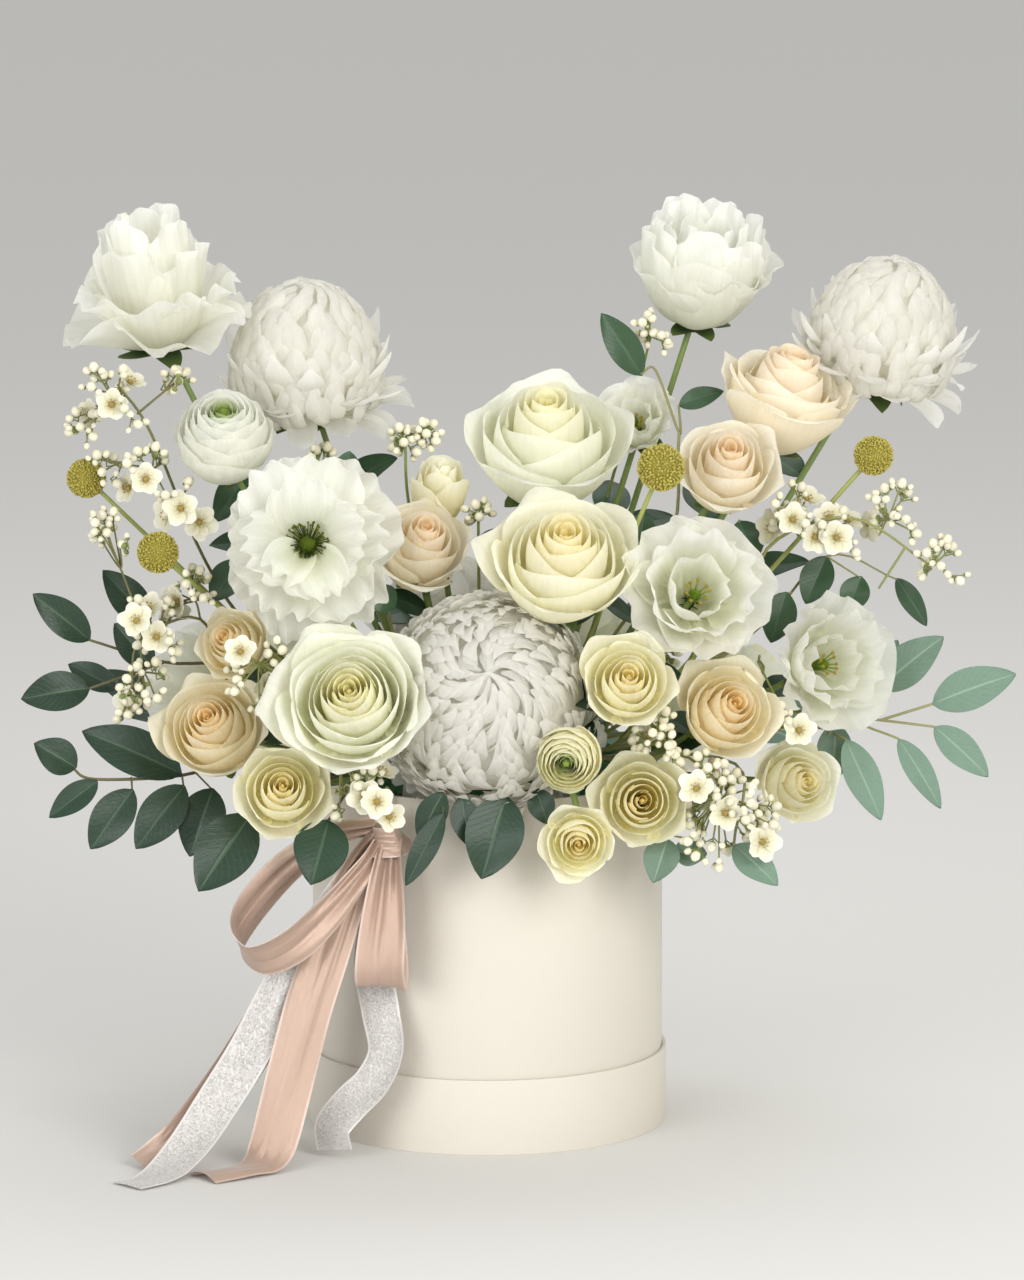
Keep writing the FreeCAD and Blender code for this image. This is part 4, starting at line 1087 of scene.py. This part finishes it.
ribbon("knot_satin", "bow_pick", SATIN, 17, 0.25, (1.0, 1.0), [
    (-50, -97, 190, 55, 0, -83), (-46, -106, 187, 50, 0, -86), (-48, -115, 183, 40, 0, -92),
    (-57, -117, 182, 10, 0, -100), (-65, -113, 182, -30, 0, -100), (-67, -104, 183, -40, 0, -92),
    (-62, -97, 184, -40, 0, -92)])
pick = Build()
add_tube(pick, np.array([(-54, -97, 188), (-56, -90, 208), (-44, -66, 198)]) * MM, [1.4 * MM] * 3,
         rgb(120, 130, 80))
pick.make("bow_wire", STEM, "leaf_blue_green", "bow_pick")

# ------------------------------------------------------------------ box
BOX_PAPER, LID_PAPER = paper_look("box_paper_skin"), paper_look("lid_paper_skin")
LOOKS = {
    "box_wall": (BOX_PAPER, "box_paper"),
    "lid_rim": (LID_PAPER, "lid_paper"),
    "liner_tray": (film_look(), "liner"),
    "floral_foam": (foam_look(), "foam"),
    "box_floor": (BOX_PAPER, "box_paper"),
    "lid_disc": (LID_PAPER, "lid_paper"),
}
for node, (material, slot) in LOOKS.items():
    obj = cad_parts[node]
    obj.data.materials.clear()
    obj.data.materials.append(material)
    if node != "floral_foam":
        obj.modifiers.new("weld", "WELD").merge_threshold = 0.01 * MM
        edge = obj.modifiers.new("soft_edge", "BEVEL")
        edge.width, edge.segments = 0.35 * MM, 2
        edge.limit_method, edge.angle_limit = "ANGLE", math.radians(40)


# ------------------------------------------------------------------ studio
def place_object(name, data, spot=(0, 0, 0), target=None):
    """Adds data to the scene at a spot, turned to look at a target."""
    obj = bpy.data.objects.new(name, data)
    obj.location = spot
    if target:
        obj.rotation_euler = (Vector(target) - Vector(spot)).to_track_quat("-Z", "Y").to_euler()
    bpy.context.scene.collection.objects.link(obj)
    return obj


def area_light(name, spot, target, size, power, colour=(1, 1, 1)):
    light = bpy.data.lights.new(name, "AREA")
    light.shape = "RECTANGLE"
    light.size, light.size_y = size
    light.energy, light.color = power, colour
    place_object(name, light, spot, target)


floor_mesh = bpy.data.meshes.new("floor")
floor_mesh.from_pydata([(-9, -9, 0), (9, -9, 0), (9, 9, 0), (-9, 9, 0)], [], [(0, 1, 2, 3)])
floor_look = Look("floor")
floor_look.put(floor_look.shader, {"Base_Color": rgb(214, 213, 210), "Roughness": 0.9})
floor_mesh.materials.append(floor_look.material)
place_object("floor", floor_mesh)

area_light("key", (1.4, -2.4, 1.35), (0, 0, 0.28), (1.6, 1.6), 55, (1.0, 0.985, 0.955))
area_light("fill", (-1.7, -2.3, 0.75), (0, 0, 0.25), (1.8, 1.5), 36, (0.99, 0.99, 1.0))
area_light("top", (0.3, 0.8, 2.0), (0, 0, 0.25), (1.6, 1.0), 10)

scene = bpy.context.scene
scene.cycles.max_bounces, scene.cycles.diffuse_bounces = 14, 10
scene.world = bpy.data.worlds.new("studio")
scene.world.use_nodes = True
sky = scene.world.node_tree.nodes["Background"]
sky.inputs["Color"].default_value = (0.82, 0.82, 0.81, 1)
sky.inputs["Strength"].default_value = 0.85
scene.view_settings.view_transform = "Standard"

lens = bpy.data.cameras.new("camera")
lens.lens, lens.sensor_width = 225.28, 36
scene.camera = place_object("camera", lens, (0.014, -4.5, 1.039), (0.014, 0, 0.277))
